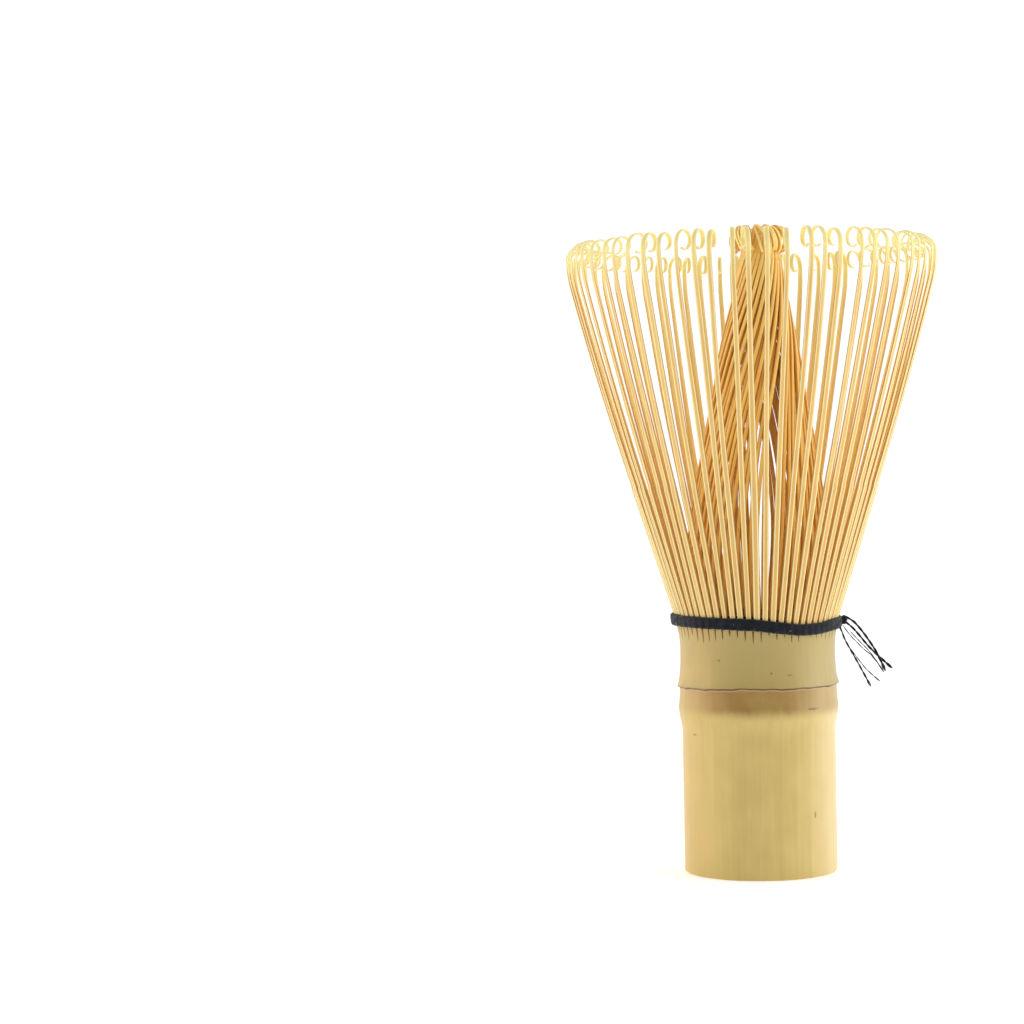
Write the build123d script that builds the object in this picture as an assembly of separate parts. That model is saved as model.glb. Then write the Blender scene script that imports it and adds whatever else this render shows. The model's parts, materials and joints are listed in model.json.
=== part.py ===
"""Bamboo tea whisk: one split bamboo culm bound with a woven black thread.

Millimetres, +Z up, origin at the centre of the cut face that the grip stands on.
The grip is below, the tines spread upwards. The culm is cut at its natural regions,
and each of the sixteen sections that the culm is first split into holds four outer
and four inner tines. An outer section bends about the top of its own root teeth.
"""

from build123d import *

import os
from math import atan2, cos, radians, sin, tan

# ---- driving dimensions --------------------------------------------------------
GRIP_RADIUS = 13.3
BORE_RADIUS = 9.3           # hollow of the culm below its node
CUP_RADIUS = 10.6           # hollow above the node, at the roots of the tines
CUP_FLOOR_RADIUS = 9.9      # the same hollow just above the node
GRIP_TOP = 24.5             # where the culm starts to swell towards its node
SCAR_HEIGHT = 32.6          # ring scar left by the culm sheath
SPLIT_HEIGHT = 41.3         # bottom of the splits, where the tines begin
HINGE_HEIGHT = 43.4         # where the outer tines bend, inside the thread
RIM_RADIUS = 32.05          # widest point of the outer tines, at their middle line
RIM_HEIGHT = 107.05

SECTION_COUNT = 16          # sections that the culm is first split into
TINES_PER_SECTION = 4       # outer tines in a section, and as many inner ones
TINE_COUNT = SECTION_COUNT * TINES_PER_SECTION
PITCH = 360.0 / TINE_COUNT  # degrees from one outer tine to the next

# ---- culm ----------------------------------------------------------------------
EDGE_BREAK = 0.4            # softened edge of the cut face
RIDGE = (13.9, 28.8)        # radius and height of the swollen ridge
RING_WAIST = (13.55, 31.2)  # hollow between the ridge and the scar
RING_LIP_RADIUS = 13.7      # ring just under the scar
SCAR_RADIUS = 14.05         # shoulder just over the scar, which it overhangs
NECK = (13.55, 36.0)        # radius and height where the shoulder has drawn in
WAIST = (13.45, 39.5)       # narrowest place of the shoulder
DIAPHRAGM_BOTTOM = 29.2
DIAPHRAGM_TOP = 31.8
DIAPHRAGM_RADIUS = 9.0      # the wall closes in to this radius from the diaphragm up
DIAPHRAGM_DISH = 0.8        # how far both faces of the diaphragm are dished
CUP_FLOOR_HEIGHT = 33.6     # where the sloping floor of the cup meets its wall

# ---- root teeth ----------------------------------------------------------------
TOOTH_TOP = HINGE_HEIGHT - 0.1
TOOTH_TOP_RADIUS = 13.98    # outer faces of the teeth at their tops
TOOTH_INNER_RADIUS = 12.75  # inner faces of the teeth
SLIT_FOOT_WIDTH = 0.06
SLIT_TOP_WIDTH = 0.40
SLIT_INNER_RADIUS = 12.25   # the cutting wedges reach from here outwards
SLIT_REACH = 4.0
SLIT_OVERRUN = 0.5          # how far a wedge runs past the tops of the teeth

# ---- outer tines ---------------------------------------------------------------
TINE_FOOT = HINGE_HEIGHT + 0.08
TINE_FOOT_RADIUS = 13.55    # middle line of a tine at its foot
TINE_FOOT_HALF = 0.46       # half its thickness there
SKIN_HEIGHT = 67.7          # above this the hard skin is shaved off
SKIN_RADIUS = 21.45
SKIN_HALF = 0.34
SKIN_STEP = 0.13            # depth of the shaving
SKIN_LEAN = 18.05           # degrees from straight up, where the skin ends
FLARE_LEAN = 14.5           # the same at the end of the nearly straight stem
RIM_BEND = 20.0             # radius of the bend from the stem into the rim
CURL_RADIUS = 2.55          # first quarter of the curl
LOOP_RADIUS = 1.6           # rest of the curl
LOOP_TURN = 200.0           # degrees that the loop turns after the first quarter
TIP_HALF = 0.13             # half the thickness of the shaved tip
STEM_WIDTH = 1.0
TIP_WIDTH = 0.72
WIDTH_REACH = 60.0          # the sheet that trims a tine to its width runs past its curl
WIDTH_START = 1.0           # and starts this far below its foot

# ---- inner tines ---------------------------------------------------------------
# The tent that the inner tines make: height, radius, and how far its legs are apart.
TENT = [(41.35, 11.95, 0.0), (48.0, 12.05, 0.3), (56.0, 12.1, 0.7), (62.0, 11.5, 0.95),
        (70.0, 10.3, 1.0), (80.0, 8.5, 0.85), (92.0, 6.4, 0.5), (100.0, 4.7, 0.35),
        (106.3, 3.5, 0.3)]
TENT_WIDTHS = (0.50, 0.27)  # tangential width of an inner tine, foot and top
TENT_THICKNESSES = (0.55, 0.34)
TENT_TWIST = 70.0           # degrees that the tent turns from foot to top
TENT_TWIST_POWER = 3.2      # most of that turn is near the top
TENT_LEAN = 1.6             # how far the top stands over to +X
TENT_GAP = 6.0              # half of the gap between its two legs, in degrees
GAP_AZIMUTH = 82.0          # the legs part at this azimuth, and mirrored at the front

# ---- centre knot ---------------------------------------------------------------
STRAND_RADIUS = 0.37        # the four twisted tips of one section
KNOT_LAY = 60.0             # degrees that a strand goes round while it loops
# A strand's path: radius, height, and the share of the lay reached there.
STRAND_PATH = [(3.35, 106.6, 0.0), (2.8, 108.3, 0.15), (2.25, 110.0, 0.3),
               (2.55, 111.5, 0.45), (3.55, 112.1, 0.58), (4.4, 111.3, 0.72),
               (4.65, 110.0, 0.86), (4.4, 108.7, 1.0)]

# ---- binding thread ------------------------------------------------------------
ROUND_HALF_WIDTH = 0.28     # a round of thread is pressed flat
ROUND_HALF_HEIGHT = 0.62
LOWER_ROUND = (14.33, 42.75)    # radius and height of each outer round
UPPER_ROUND = (14.78, 44.15)
INNER_LOWER_ROUND = (12.48, 42.75)
INNER_UPPER_ROUND = (12.55, 44.15)
INNER_HALF_WIDTH = 0.2
BINDING_KNOT = (15.75, 0.0, 43.3)
BINDING_KNOT_RADIUS = 0.9
TAIL_RADIUS = 0.3
TAIL_ARC_SHARE = 0.45       # share of the shorter run that an arc takes
# Free ends of the thread, down and outwards. The lower one leaves from under the
# lower round, the others leave from the knot.
TAIL_ROUTES = {
    "upper": [(16.35, -0.1, 43.95), (17.7, -0.5, 42.5), (19.4, -0.6, 39.9),
              (21.0, -0.4, 37.3), (22.1, -0.3, 34.6)],
    "middle": [(16.6, 0.1, 42.95), (17.6, 0.5, 41.2), (19.2, 0.9, 38.9),
               (21.1, 1.0, 37.0), (23.4, 1.1, 34.9)],
    "lower": [(14.6, -3.18, 42.4), (14.75, -3.05, 41.0), (15.95, -2.7, 38.7),
              (17.5, -2.3, 35.9), (19.5, -1.8, 32.0)],
}


def mix(low, high, share):
    """The value a share of the way from low to high."""
    return low + (high - low) * share


def at(radius, azimuth, height):
    """A point from its radius, its azimuth in degrees and its height."""
    return Vector(radius * cos(radians(azimuth)), radius * sin(radians(azimuth)), height)


def turned(shape, azimuth):
    """A copy of a shape, turned about the whisk's axis."""
    return Rot(0, 0, azimuth) * shape


def revolved(edges):
    """The solid of revolution of a closed outline in the XZ plane."""
    return revolve(make_face(edges), Axis.Z)


# ---- the culm ------------------------------------------------------------------
def grip():
    """Straight tube that the hand holds, hollow right through."""
    outline = Polyline(
        (BORE_RADIUS, 0, 0), (GRIP_RADIUS - EDGE_BREAK, 0, 0), (GRIP_RADIUS, 0, EDGE_BREAK),
        (GRIP_RADIUS, 0, GRIP_TOP), (BORE_RADIUS, 0, GRIP_TOP), close=True)
    return revolved(outline.edges())


def node_ring():
    """Swollen ring round the culm's node, up to the sheath scar."""
    outer = Spline(
        (GRIP_RADIUS, 0, GRIP_TOP), (RIDGE[0], 0, RIDGE[1]),
        (RING_WAIST[0], 0, RING_WAIST[1]), (RING_LIP_RADIUS, 0, SCAR_HEIGHT),
        tangents=((0, 0, 1), (0.3, 0, 1)))
    inner = Polyline(
        (RING_LIP_RADIUS, 0, SCAR_HEIGHT), (DIAPHRAGM_RADIUS, 0, SCAR_HEIGHT),
        (DIAPHRAGM_RADIUS, 0, DIAPHRAGM_BOTTOM), (BORE_RADIUS, 0, DIAPHRAGM_BOTTOM),
        (BORE_RADIUS, 0, GRIP_TOP), (GRIP_RADIUS, 0, GRIP_TOP))
    return revolved(outer.edges() + inner.edges())


def diaphragm():
    """Thin wall that closes the culm inside its node, dished on both faces."""
    ends = (-DIAPHRAGM_RADIUS, DIAPHRAGM_RADIUS)
    top, bottom = [
        ThreePointArc((ends[0], 0, z), (0, 0, z + dish), (ends[1], 0, z)).edge()
        for z, dish in ((DIAPHRAGM_TOP, -DIAPHRAGM_DISH), (DIAPHRAGM_BOTTOM, DIAPHRAGM_DISH))]
    sides = [Line((x, 0, DIAPHRAGM_BOTTOM), (x, 0, DIAPHRAGM_TOP)).edge() for x in ends]
    section = make_face([top, bottom] + sides)
    size = 2 * DIAPHRAGM_RADIUS
    half = section & Pos(DIAPHRAGM_RADIUS, 0, DIAPHRAGM_TOP) * Box(size, size, size)
    return revolve(half, Axis.Z)


def slit(azimuth):
    """The narrow wedge of air between two root teeth."""
    top = TOOTH_TOP + SLIT_OVERRUN
    wedge = make_face(Polyline(
        (0, -SLIT_FOOT_WIDTH / 2, SPLIT_HEIGHT), (0, SLIT_FOOT_WIDTH / 2, SPLIT_HEIGHT),
        (0, SLIT_TOP_WIDTH / 2, top), (0, -SLIT_TOP_WIDTH / 2, top), close=True).edges())
    block = extrude(wedge, amount=SLIT_REACH, dir=(1, 0, 0))
    return turned(Pos(SLIT_INNER_RADIUS, 0, 0) * block, azimuth)


def shoulder():
    """Culm wall above the node, ending in a crown of sixty-four root teeth."""
    outer = Spline(
        (SCAR_RADIUS, 0, SCAR_HEIGHT), (NECK[0], 0, NECK[1]),
        (WAIST[0], 0, WAIST[1]), (TOOTH_TOP_RADIUS, 0, TOOTH_TOP),
        tangents=((-0.2, 0, 1), (0.32, 0, 1)))
    rest = Polyline(
        (TOOTH_TOP_RADIUS, 0, TOOTH_TOP), (TOOTH_INNER_RADIUS + 0.25, 0, TOOTH_TOP),
        (TOOTH_INNER_RADIUS, 0, SPLIT_HEIGHT), (CUP_RADIUS, 0, SPLIT_HEIGHT),
        (CUP_FLOOR_RADIUS, 0, CUP_FLOOR_HEIGHT), (DIAPHRAGM_RADIUS, 0, SCAR_HEIGHT),
        (SCAR_RADIUS, 0, SCAR_HEIGHT))
    ring = revolved(outer.edges() + rest.edges())
    slits = Compound([slit((i + 0.5) * PITCH).solid() for i in range(TINE_COUNT)])
    return ring - slits


# ---- outer tines ---------------------------------------------------------------
def side_edges(stations, side):
    """One side of a tine's outline: an arc through the offset points of each stretch.

    stations holds stretches of three (point, heading, half thickness), where heading is
    the direction's angle from straight up, positive outwards.
    """
    edges = []
    for stretch in stations:
        points = [
            (p[0] + side * half * cos(heading), 0, p[1] - side * half * sin(heading))
            for p, heading, half in stretch]
        if edges and (edges[-1].position_at(1) - Vector(*points[0])).length > 1e-4:
            edges.append(Line(edges[-1].position_at(1), points[0]).edge())
        edges.append(ThreePointArc(*points).edge())
    return edges


def stem_stations(low, high, top_lean, halves):
    """A slightly bowed stretch of stem, which reaches its top at a given lean."""
    run = Vector(high[0] - low[0], high[1] - low[1])
    chord_lean = atan2(run.X, run.Y)
    swing = chord_lean - top_lean
    bow = swing * run.length / 4
    middle = (
        (low[0] + high[0]) / 2 + bow * cos(chord_lean),
        (low[1] + high[1]) / 2 - bow * sin(chord_lean))
    return [
        (low, chord_lean + swing, halves[0]), (middle, chord_lean, mix(*halves, 0.5)),
        (high, top_lean, halves[1])]


def bend_stations(start, heading, turn, radius, half):
    """A round stretch that turns inwards, towards the axis, by turn radians."""
    centre = (start[0] - radius * cos(heading), start[1] + radius * sin(heading))
    found = []
    for share in (0, 0.5, 1):
        now = heading - turn * share
        found.append(((centre[0] + radius * cos(now), centre[1] - radius * sin(now)), now, half))
    return found


def tine_width(height):
    """Half of the tangential width of an outer tine at a height."""
    share = max(0.0, (height - SKIN_HEIGHT) / (RIM_HEIGHT - SKIN_HEIGHT))
    return mix(STEM_WIDTH, TIP_WIDTH, min(share, 1.0)) / 2


def outer_tine():
    """One outer tine in the XZ plane: stem, rim bend and closed curl."""
    skin_lean, flare_lean = radians(SKIN_LEAN), radians(FLARE_LEAN)
    flare = (
        RIM_RADIUS - RIM_BEND * (1 - cos(flare_lean)), RIM_HEIGHT - RIM_BEND * sin(flare_lean))
    shaved_half = SKIN_HALF - SKIN_STEP / 2
    skin = stem_stations(
        (TINE_FOOT_RADIUS, TINE_FOOT), (SKIN_RADIUS, SKIN_HEIGHT), skin_lean,
        (TINE_FOOT_HALF, SKIN_HALF))
    shaved = stem_stations(
        (SKIN_RADIUS - SKIN_STEP / 2, SKIN_HEIGHT), flare, flare_lean, (shaved_half, TIP_HALF))
    rim = bend_stations(flare, flare_lean, flare_lean, RIM_BEND, TIP_HALF)
    quarter = bend_stations(rim[-1][0], 0.0, radians(90), CURL_RADIUS, TIP_HALF)
    loop = bend_stations(
        quarter[-1][0], radians(-90), radians(LOOP_TURN), LOOP_RADIUS, TIP_HALF)
    stations = [skin, shaved, rim, quarter, loop]
    outside, inside = side_edges(stations, 1), side_edges(stations, -1)
    caps = [
        Line(outside[0].position_at(0), inside[0].position_at(0)).edge(),
        Line(outside[-1].position_at(1), inside[-1].position_at(1)).edge()]
    ribbon = extrude(make_face(outside + inside + caps), amount=STEM_WIDTH, dir=(0, 1, 0), both=True)
    heights = (TINE_FOOT - WIDTH_START, SKIN_HEIGHT, RIM_HEIGHT, RIM_HEIGHT + 2 * CURL_RADIUS)
    outline = [(0, tine_width(z), z) for z in heights]
    outline += [(0, -tine_width(z), z) for z in reversed(heights)]
    trim = make_face(Polyline(*outline, close=True).edges())
    envelope = extrude(trim, amount=WIDTH_REACH, dir=(1, 0, 0))
    return (ribbon & envelope).solid()


# ---- inner tines ---------------------------------------------------------------
def tent_share(height):
    """How far up the tent a height is, from 0 at its foot to 1 at its top."""
    return (height - TENT[0][0]) / (TENT[-1][0] - TENT[0][0])


def tent_azimuth(tine, height, opened):
    """Azimuth of an inner tine at a height, with the parting of the legs and the twist."""
    foot = (tine + 0.5) * PITCH
    past, span = (foot + GAP_AZIMUTH) % 360.0, 2 * GAP_AZIMUTH
    if past > span:
        past, span = past - span, 360.0 - span
    parting = TENT_GAP * opened * (1 - 2 * past / span)
    return foot + parting + TENT_TWIST * tent_share(height) ** TENT_TWIST_POWER


def inner_tine(tine):
    """One inner tine, lofted through level sections from its foot up to the knot."""
    sections = []
    for height, radius, opened in TENT:
        share = tent_share(height)
        azimuth = tent_azimuth(tine, height, opened)
        origin = at(radius, azimuth, height) + Vector(TENT_LEAN * share, 0, 0)
        plane = Plane(origin=origin, x_dir=at(1, azimuth, 0), z_dir=(0, 0, 1))
        sections.append(plane * Rectangle(mix(*TENT_THICKNESSES, share), mix(*TENT_WIDTHS, share)))
    return loft(sections).solid()


# ---- centre knot ---------------------------------------------------------------
def knot_strand():
    """The twisted tips of one section: up, over and outwards, and tucked back under."""
    line = Spline(*[at(r, KNOT_LAY * lay, z) for r, z, lay in STRAND_PATH])
    start = Plane(origin=line.position_at(0), z_dir=line.tangent_at(0))
    return sweep(start * Circle(STRAND_RADIUS), path=line, is_frenet=False).solid()


# ---- binding thread ------------------------------------------------------------
def thread_round(place, half_width):
    """One round of thread, pressed flat against the tines."""
    section = Plane.XZ * Pos(*place) * Ellipse(half_width, ROUND_HALF_HEIGHT)
    return revolve(section, Axis.Z).solid()


def corner_radii(points):
    """The radius of each corner of a route: as large as its two runs allow."""
    radii = []
    for before, corner, after in zip(points, points[1:], points[2:]):
        into, out = corner - before, after - corner
        turn = radians(into.get_angle(out))
        radii.append(TAIL_ARC_SHARE * min(into.length, out.length) / tan(turn / 2))
    return radii


def thread_tail(route):
    """A free end of the thread, as a tube of straight runs and tangent arcs."""
    points = [Vector(*p) for p in route]
    line = FilletPolyline(*points, radius=corner_radii(points))
    start = Plane(origin=line.position_at(0), z_dir=line.tangent_at(0))
    tube = sweep(start * Circle(TAIL_RADIUS), path=line).solid()
    return tube - binding_knot()


def binding_knot():
    """Tight round knot that ends the thread."""
    return Pos(*BINDING_KNOT) * Sphere(BINDING_KNOT_RADIUS)


def write(name, solids):
    """Writes one node, of one or more separate solids."""
    shape = solids[0] if len(solids) == 1 else Compound(solids)
    export_step(shape, f"parts/{name}.step")


def main():
    """Builds every node of the whisk."""
    os.makedirs("parts", exist_ok=True)
    write("culm_grip", [grip().solid()])
    write("culm_node_ring", [node_ring().solid()])
    write("culm_diaphragm", [diaphragm().solid()])
    write("culm_shoulder", [shoulder().solid()])

    tine = outer_tine()
    for section in range(SECTION_COUNT):
        first = section * TINES_PER_SECTION
        tines = range(first, first + TINES_PER_SECTION)
        write(f"outer_tines_{section + 1:02d}", [turned(tine, i * PITCH).solid() for i in tines])
        write(f"inner_tines_{section + 1:02d}", [inner_tine(i) for i in tines])

    strand = knot_strand()
    spacing = 360.0 / SECTION_COUNT
    first_strand = TENT_TWIST + TINES_PER_SECTION * PITCH / 2
    strands = [turned(strand, first_strand + i * spacing) for i in range(SECTION_COUNT)]
    write("centre_knot", [(Pos(TENT_LEAN, 0, 0) * each).solid() for each in strands])

    write("thread_outer_lower", [thread_round(LOWER_ROUND, ROUND_HALF_WIDTH)])
    write("thread_outer_upper", [thread_round(UPPER_ROUND, ROUND_HALF_WIDTH)])
    write("thread_inner_lower", [thread_round(INNER_LOWER_ROUND, INNER_HALF_WIDTH)])
    write("thread_inner_upper", [thread_round(INNER_UPPER_ROUND, INNER_HALF_WIDTH)])
    write("thread_knot", [binding_knot().solid()])
    for name, route in TAIL_ROUTES.items():
        write(f"thread_tail_{name}", [thread_tail(route).solid()])


main()
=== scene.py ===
"""Looks of the bamboo tea whisk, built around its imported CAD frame.

Metres, +Z up, the origin at the centre of the cut face that the grip stands on. The
front is -Y. Each class builds one sub-assembly: the culm, the outer tines, the inner
tines with their knot, the binding thread, and the studio round the whisk.
"""

import json
import logging
import math
from dataclasses import dataclass, field
from enum import Enum
from typing import Callable, Iterable, Optional, Sequence, Union

import bmesh
import bpy
import numpy as np
from mathutils import Matrix, Vector

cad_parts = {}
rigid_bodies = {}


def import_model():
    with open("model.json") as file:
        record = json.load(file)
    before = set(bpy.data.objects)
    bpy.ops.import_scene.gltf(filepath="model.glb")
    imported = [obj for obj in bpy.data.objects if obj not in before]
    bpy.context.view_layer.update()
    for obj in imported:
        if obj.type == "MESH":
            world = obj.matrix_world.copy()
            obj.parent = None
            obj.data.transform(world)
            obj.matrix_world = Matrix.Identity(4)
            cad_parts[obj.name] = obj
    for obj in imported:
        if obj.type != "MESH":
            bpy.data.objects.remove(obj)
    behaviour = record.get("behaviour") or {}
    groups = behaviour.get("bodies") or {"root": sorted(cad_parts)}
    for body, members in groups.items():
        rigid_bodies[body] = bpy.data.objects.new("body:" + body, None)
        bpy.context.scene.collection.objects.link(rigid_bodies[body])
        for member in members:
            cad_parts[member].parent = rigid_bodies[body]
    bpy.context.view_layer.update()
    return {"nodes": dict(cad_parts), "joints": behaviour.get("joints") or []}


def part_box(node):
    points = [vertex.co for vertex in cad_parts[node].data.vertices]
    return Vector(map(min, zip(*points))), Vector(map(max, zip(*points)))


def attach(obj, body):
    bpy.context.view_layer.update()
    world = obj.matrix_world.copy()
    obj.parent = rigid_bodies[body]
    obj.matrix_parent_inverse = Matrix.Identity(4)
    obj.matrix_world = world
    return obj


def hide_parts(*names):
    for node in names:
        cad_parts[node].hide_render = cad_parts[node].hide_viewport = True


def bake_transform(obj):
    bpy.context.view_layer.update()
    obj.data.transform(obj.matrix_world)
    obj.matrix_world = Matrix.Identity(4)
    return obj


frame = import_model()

MM = 0.001
FULL_TURN = 2.0 * math.pi
SECTION_COUNT = len(frame["joints"])
TINES_PER_SECTION = 4
TINE_COUNT = SECTION_COUNT * TINES_PER_SECTION
PITCH = FULL_TURN / TINE_COUNT
HINGE_HEIGHT = frame["joints"][0]["pos_m"][2]
RANDOM = np.random.default_rng(11)
LOG = logging.getLogger("whisk")

Colour = tuple[float, float, float, float]


class Slot(Enum):
    """Material slots of the record, named for the kinds of piece built here."""

    CULM = "culm"
    OUTER = "outer_tine"
    INNER = "inner_tine"
    THREAD = "thread"


def paint(red: int, green: int, blue: int) -> Colour:
    """Linear colour from 8-bit display values."""
    shares = [value / 255.0 for value in (red, green, blue)]
    linear = [s / 12.92 if s <= 0.04045 else ((s + 0.055) / 1.055) ** 2.4 for s in shares]
    return (linear[0], linear[1], linear[2], 1.0)


# ---- node trees ----------------------------------------------------------------
class Flow:
    """A number that flows through a node tree, with ordinary arithmetic."""

    def __init__(self, tree: "Tree", socket: bpy.types.NodeSocket) -> None:
        """Args: tree: the tree it belongs to. socket: the output that carries it."""
        self.tree = tree
        self.socket = socket

    def __add__(self, other: "Term") -> "Flow":
        """Sum."""
        return self.tree.math("ADD", self, other)

    def __sub__(self, other: "Term") -> "Flow":
        """Difference."""
        return self.tree.math("SUBTRACT", self, other)

    def __rsub__(self, other: "Term") -> "Flow":
        """Difference from a number."""
        return self.tree.math("SUBTRACT", other, self)

    def __mul__(self, other: "Term") -> "Flow":
        """Product."""
        return self.tree.math("MULTIPLY", self, other)

    def __truediv__(self, other: "Term") -> "Flow":
        """Quotient."""
        return self.tree.math("DIVIDE", self, other)

    def __pow__(self, other: "Term") -> "Flow":
        """Power."""
        return self.tree.math("POWER", self, other)

    __radd__ = __add__
    __rmul__ = __mul__


Term = Union[Flow, float, int]


class Tree:
    """Builds a node tree, one node for each call."""

    def __init__(self, tree: bpy.types.NodeTree) -> None:
        """Args: tree: an empty shader or geometry node tree."""
        self.tree = tree

    def node(self, kind: str, inputs: Optional[dict] = None, **settings: object) -> bpy.types.Node:
        """Adds a node.

        Args:
            kind: the node's type.
            inputs: values, sockets or flows, by input name or index.
            settings: the node's own properties.

        Returns:
            The new node.
        """
        made = self.tree.nodes.new(kind)
        for name, value in settings.items():
            setattr(made, name, value)
        for key, value in (inputs or {}).items():
            if isinstance(value, Flow):
                value = value.socket
            if isinstance(value, bpy.types.NodeSocket):
                self.tree.links.new(value, made.inputs[key])
            else:
                made.inputs[key].default_value = value
        return made

    def flow(self, kind: str, inputs: Optional[dict] = None, out: Union[int, str] = 0,
             **settings: object) -> Flow:
        """Adds a node and returns one of its outputs as a flow."""
        return Flow(self, self.node(kind, inputs, **settings).outputs[out])

    def math(self, operation: str, *terms: Term) -> Flow:
        """A scalar calculation."""
        return self.flow("ShaderNodeMath", dict(enumerate(terms)), operation=operation)

    def vector(self, x: Term, y: Term, z: Term) -> Flow:
        """A vector from its three parts."""
        return self.flow("ShaderNodeCombineXYZ", {0: x, 1: y, 2: z})

    def parts(self, vector: Flow) -> tuple[Flow, Flow, Flow]:
        """The three parts of a vector."""
        node = self.node("ShaderNodeSeparateXYZ", {0: vector})
        return tuple(Flow(self, node.outputs[i]) for i in range(3))

    def turn(self, vector: Flow, angle: Term, axis: str = "Z_AXIS",
             centre: tuple = (0.0, 0.0, 0.0)) -> Flow:
        """A vector turned about an axis through a centre."""
        inputs = {"Vector": vector, "Center": centre, "Angle": angle}
        return self.flow("ShaderNodeVectorRotate", inputs, rotation_type=axis)

    def ramp(self, value: Term, low: float, high: float, start: float = 0.0,
             end: float = 1.0) -> Flow:
        """A smooth step of a value, from start at low to end at high."""
        inputs = {0: value, 1: low, 2: high, 3: start, 4: end}
        return self.flow("ShaderNodeMapRange", inputs, interpolation_type="SMOOTHSTEP")

    def noise(self, vector: Flow, scale: float, detail: float = 2.0,
              roughness: float = 0.5) -> Flow:
        """Smooth noise about one half."""
        inputs = {"Vector": vector, "Scale": scale, "Detail": detail, "Roughness": roughness}
        return self.flow("ShaderNodeTexNoise", inputs)


class GeometryTree(Tree):
    """A geometry node tree with named inputs."""

    def __init__(self, name: str, sockets: dict[str, str]) -> None:
        """Args: name: the tree's name. sockets: the type of each input, by name."""
        super().__init__(bpy.data.node_groups.new(name, "GeometryNodeTree"))
        faces = self.tree.interface
        faces.new_socket("Geometry", in_out="OUTPUT", socket_type="NodeSocketGeometry")
        faces.new_socket("Geometry", in_out="INPUT", socket_type="NodeSocketGeometry")
        for label, kind in sockets.items():
            faces.new_socket(label, in_out="INPUT", socket_type="NodeSocket" + kind)
        self.source = self.tree.nodes.new("NodeGroupInput")

    def given(self, label: str) -> Flow:
        """One of the tree's own inputs."""
        return Flow(self, self.source.outputs[label])

    def named(self, name: str, kind: str = "FLOAT") -> Flow:
        """A stored attribute."""
        return self.flow("GeometryNodeInputNamedAttribute", {"Name": name}, "Attribute",
                         data_type=kind)

    def chance(self, low: Term, high: Term, identity: Flow, seed: int) -> Flow:
        """A random number that depends only on an identity and a seed."""
        offset = self.given("Seed") + seed
        inputs = {2: low, 3: high, 7: identity, 8: offset}
        return self.flow("FunctionNodeRandomValue", inputs, 1, data_type="FLOAT")

    def store(self, geometry: Flow, name: str, value: Term, kind: str = "FLOAT",
              domain: str = "POINT") -> Flow:
        """Geometry with one more attribute."""
        inputs = {"Geometry": geometry, "Name": name, 3: value}
        return self.flow("GeometryNodeStoreNamedAttribute", inputs, data_type=kind, domain=domain)

    def move(self, geometry: Flow, position: Flow) -> Flow:
        """Geometry with its points put somewhere else."""
        return self.flow("GeometryNodeSetPosition", {"Geometry": geometry, "Position": position})

    def close(self, geometry: Flow) -> None:
        """Ends the tree: every instance is real and has the finish."""
        real = self.flow("GeometryNodeRealizeInstances", {"Geometry": geometry})
        smooth = self.flow("GeometryNodeSetShadeSmooth", {"Geometry": real})
        inputs = {"Geometry": smooth, "Material": self.given("Finish")}
        done = self.flow("GeometryNodeSetMaterial", inputs)
        self.node("NodeGroupOutput", {"Geometry": done})


def link(obj: bpy.types.Object) -> bpy.types.Object:
    """Puts an object in the scene."""
    bpy.context.scene.collection.objects.link(obj)
    return obj


def grown(name: str, base: bpy.types.Mesh, tree: GeometryTree, values: dict) -> bpy.types.Object:
    """Runs a geometry tree on a mesh and keeps the result as a plain mesh.

    Args:
        name: the new piece's name.
        base: the mesh that the tree starts from.
        tree: the tree to run.
        values: the tree's inputs, by name.

    Returns:
        The new piece, in the scene.
    """
    carrier = link(bpy.data.objects.new(name + "_base", base))
    modifier = carrier.modifiers.new("Grow", "NODES")
    modifier.node_group = tree.tree
    for item in tree.tree.interface.items_tree:
        if item.in_out == "INPUT" and item.name in values:
            modifier[item.identifier] = values[item.name]
    graph = bpy.context.evaluated_depsgraph_get()
    mesh = bpy.data.meshes.new_from_object(carrier.evaluated_get(graph), depsgraph=graph)
    bpy.data.objects.remove(carrier)
    mesh.name = name
    return link(bpy.data.objects.new(name, mesh))


def solid(name: str, points: np.ndarray, faces: Sequence[Sequence[int]],
          crease: float = 40.0) -> bpy.types.Mesh:
    """A closed mesh with outward normals.

    Args:
        name: the mesh's name.
        points: its vertices.
        faces: vertex indices of each face.
        crease: edges sharper than this many degrees stay sharp.

    Returns:
        The mesh.
    """
    mesh = bpy.data.meshes.new(name)
    mesh.from_pydata([tuple(p) for p in points], [], [list(f) for f in faces])
    edit = bmesh.new()
    edit.from_mesh(mesh)
    bmesh.ops.recalc_face_normals(edit, faces=edit.faces)
    edit.to_mesh(mesh)
    edit.free()
    mesh.shade_smooth()
    mesh.set_sharp_from_angle(angle=math.radians(crease))
    return mesh


def grid_faces(rows: int, columns: int, loop: bool) -> list[tuple[int, int, int, int]]:
    """Quads between neighbouring rings of vertices.

    Args:
        rows: number of rings.
        columns: vertices in each ring, which is closed.
        loop: whether the last ring joins the first.

    Returns:
        Vertex indices of each quad.
    """
    found = []
    for row in range(rows if loop else rows - 1):
        above = (row + 1) % rows
        for column in range(columns):
            beside = (column + 1) % columns
            found.append((row * columns + column, row * columns + beside,
                          above * columns + beside, above * columns + column))
    return found


def label(mesh: bpy.types.Mesh, name: str, values: np.ndarray) -> None:
    """Stores one number for each vertex, or one vector where values has rows of three."""
    kind = "FLOAT_VECTOR" if values.ndim == 2 else "FLOAT"
    attribute = mesh.attributes.new(name, kind, "POINT")
    attribute.data.foreach_set("vector" if values.ndim == 2 else "value",
                               values.astype(np.float32).ravel())


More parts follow.
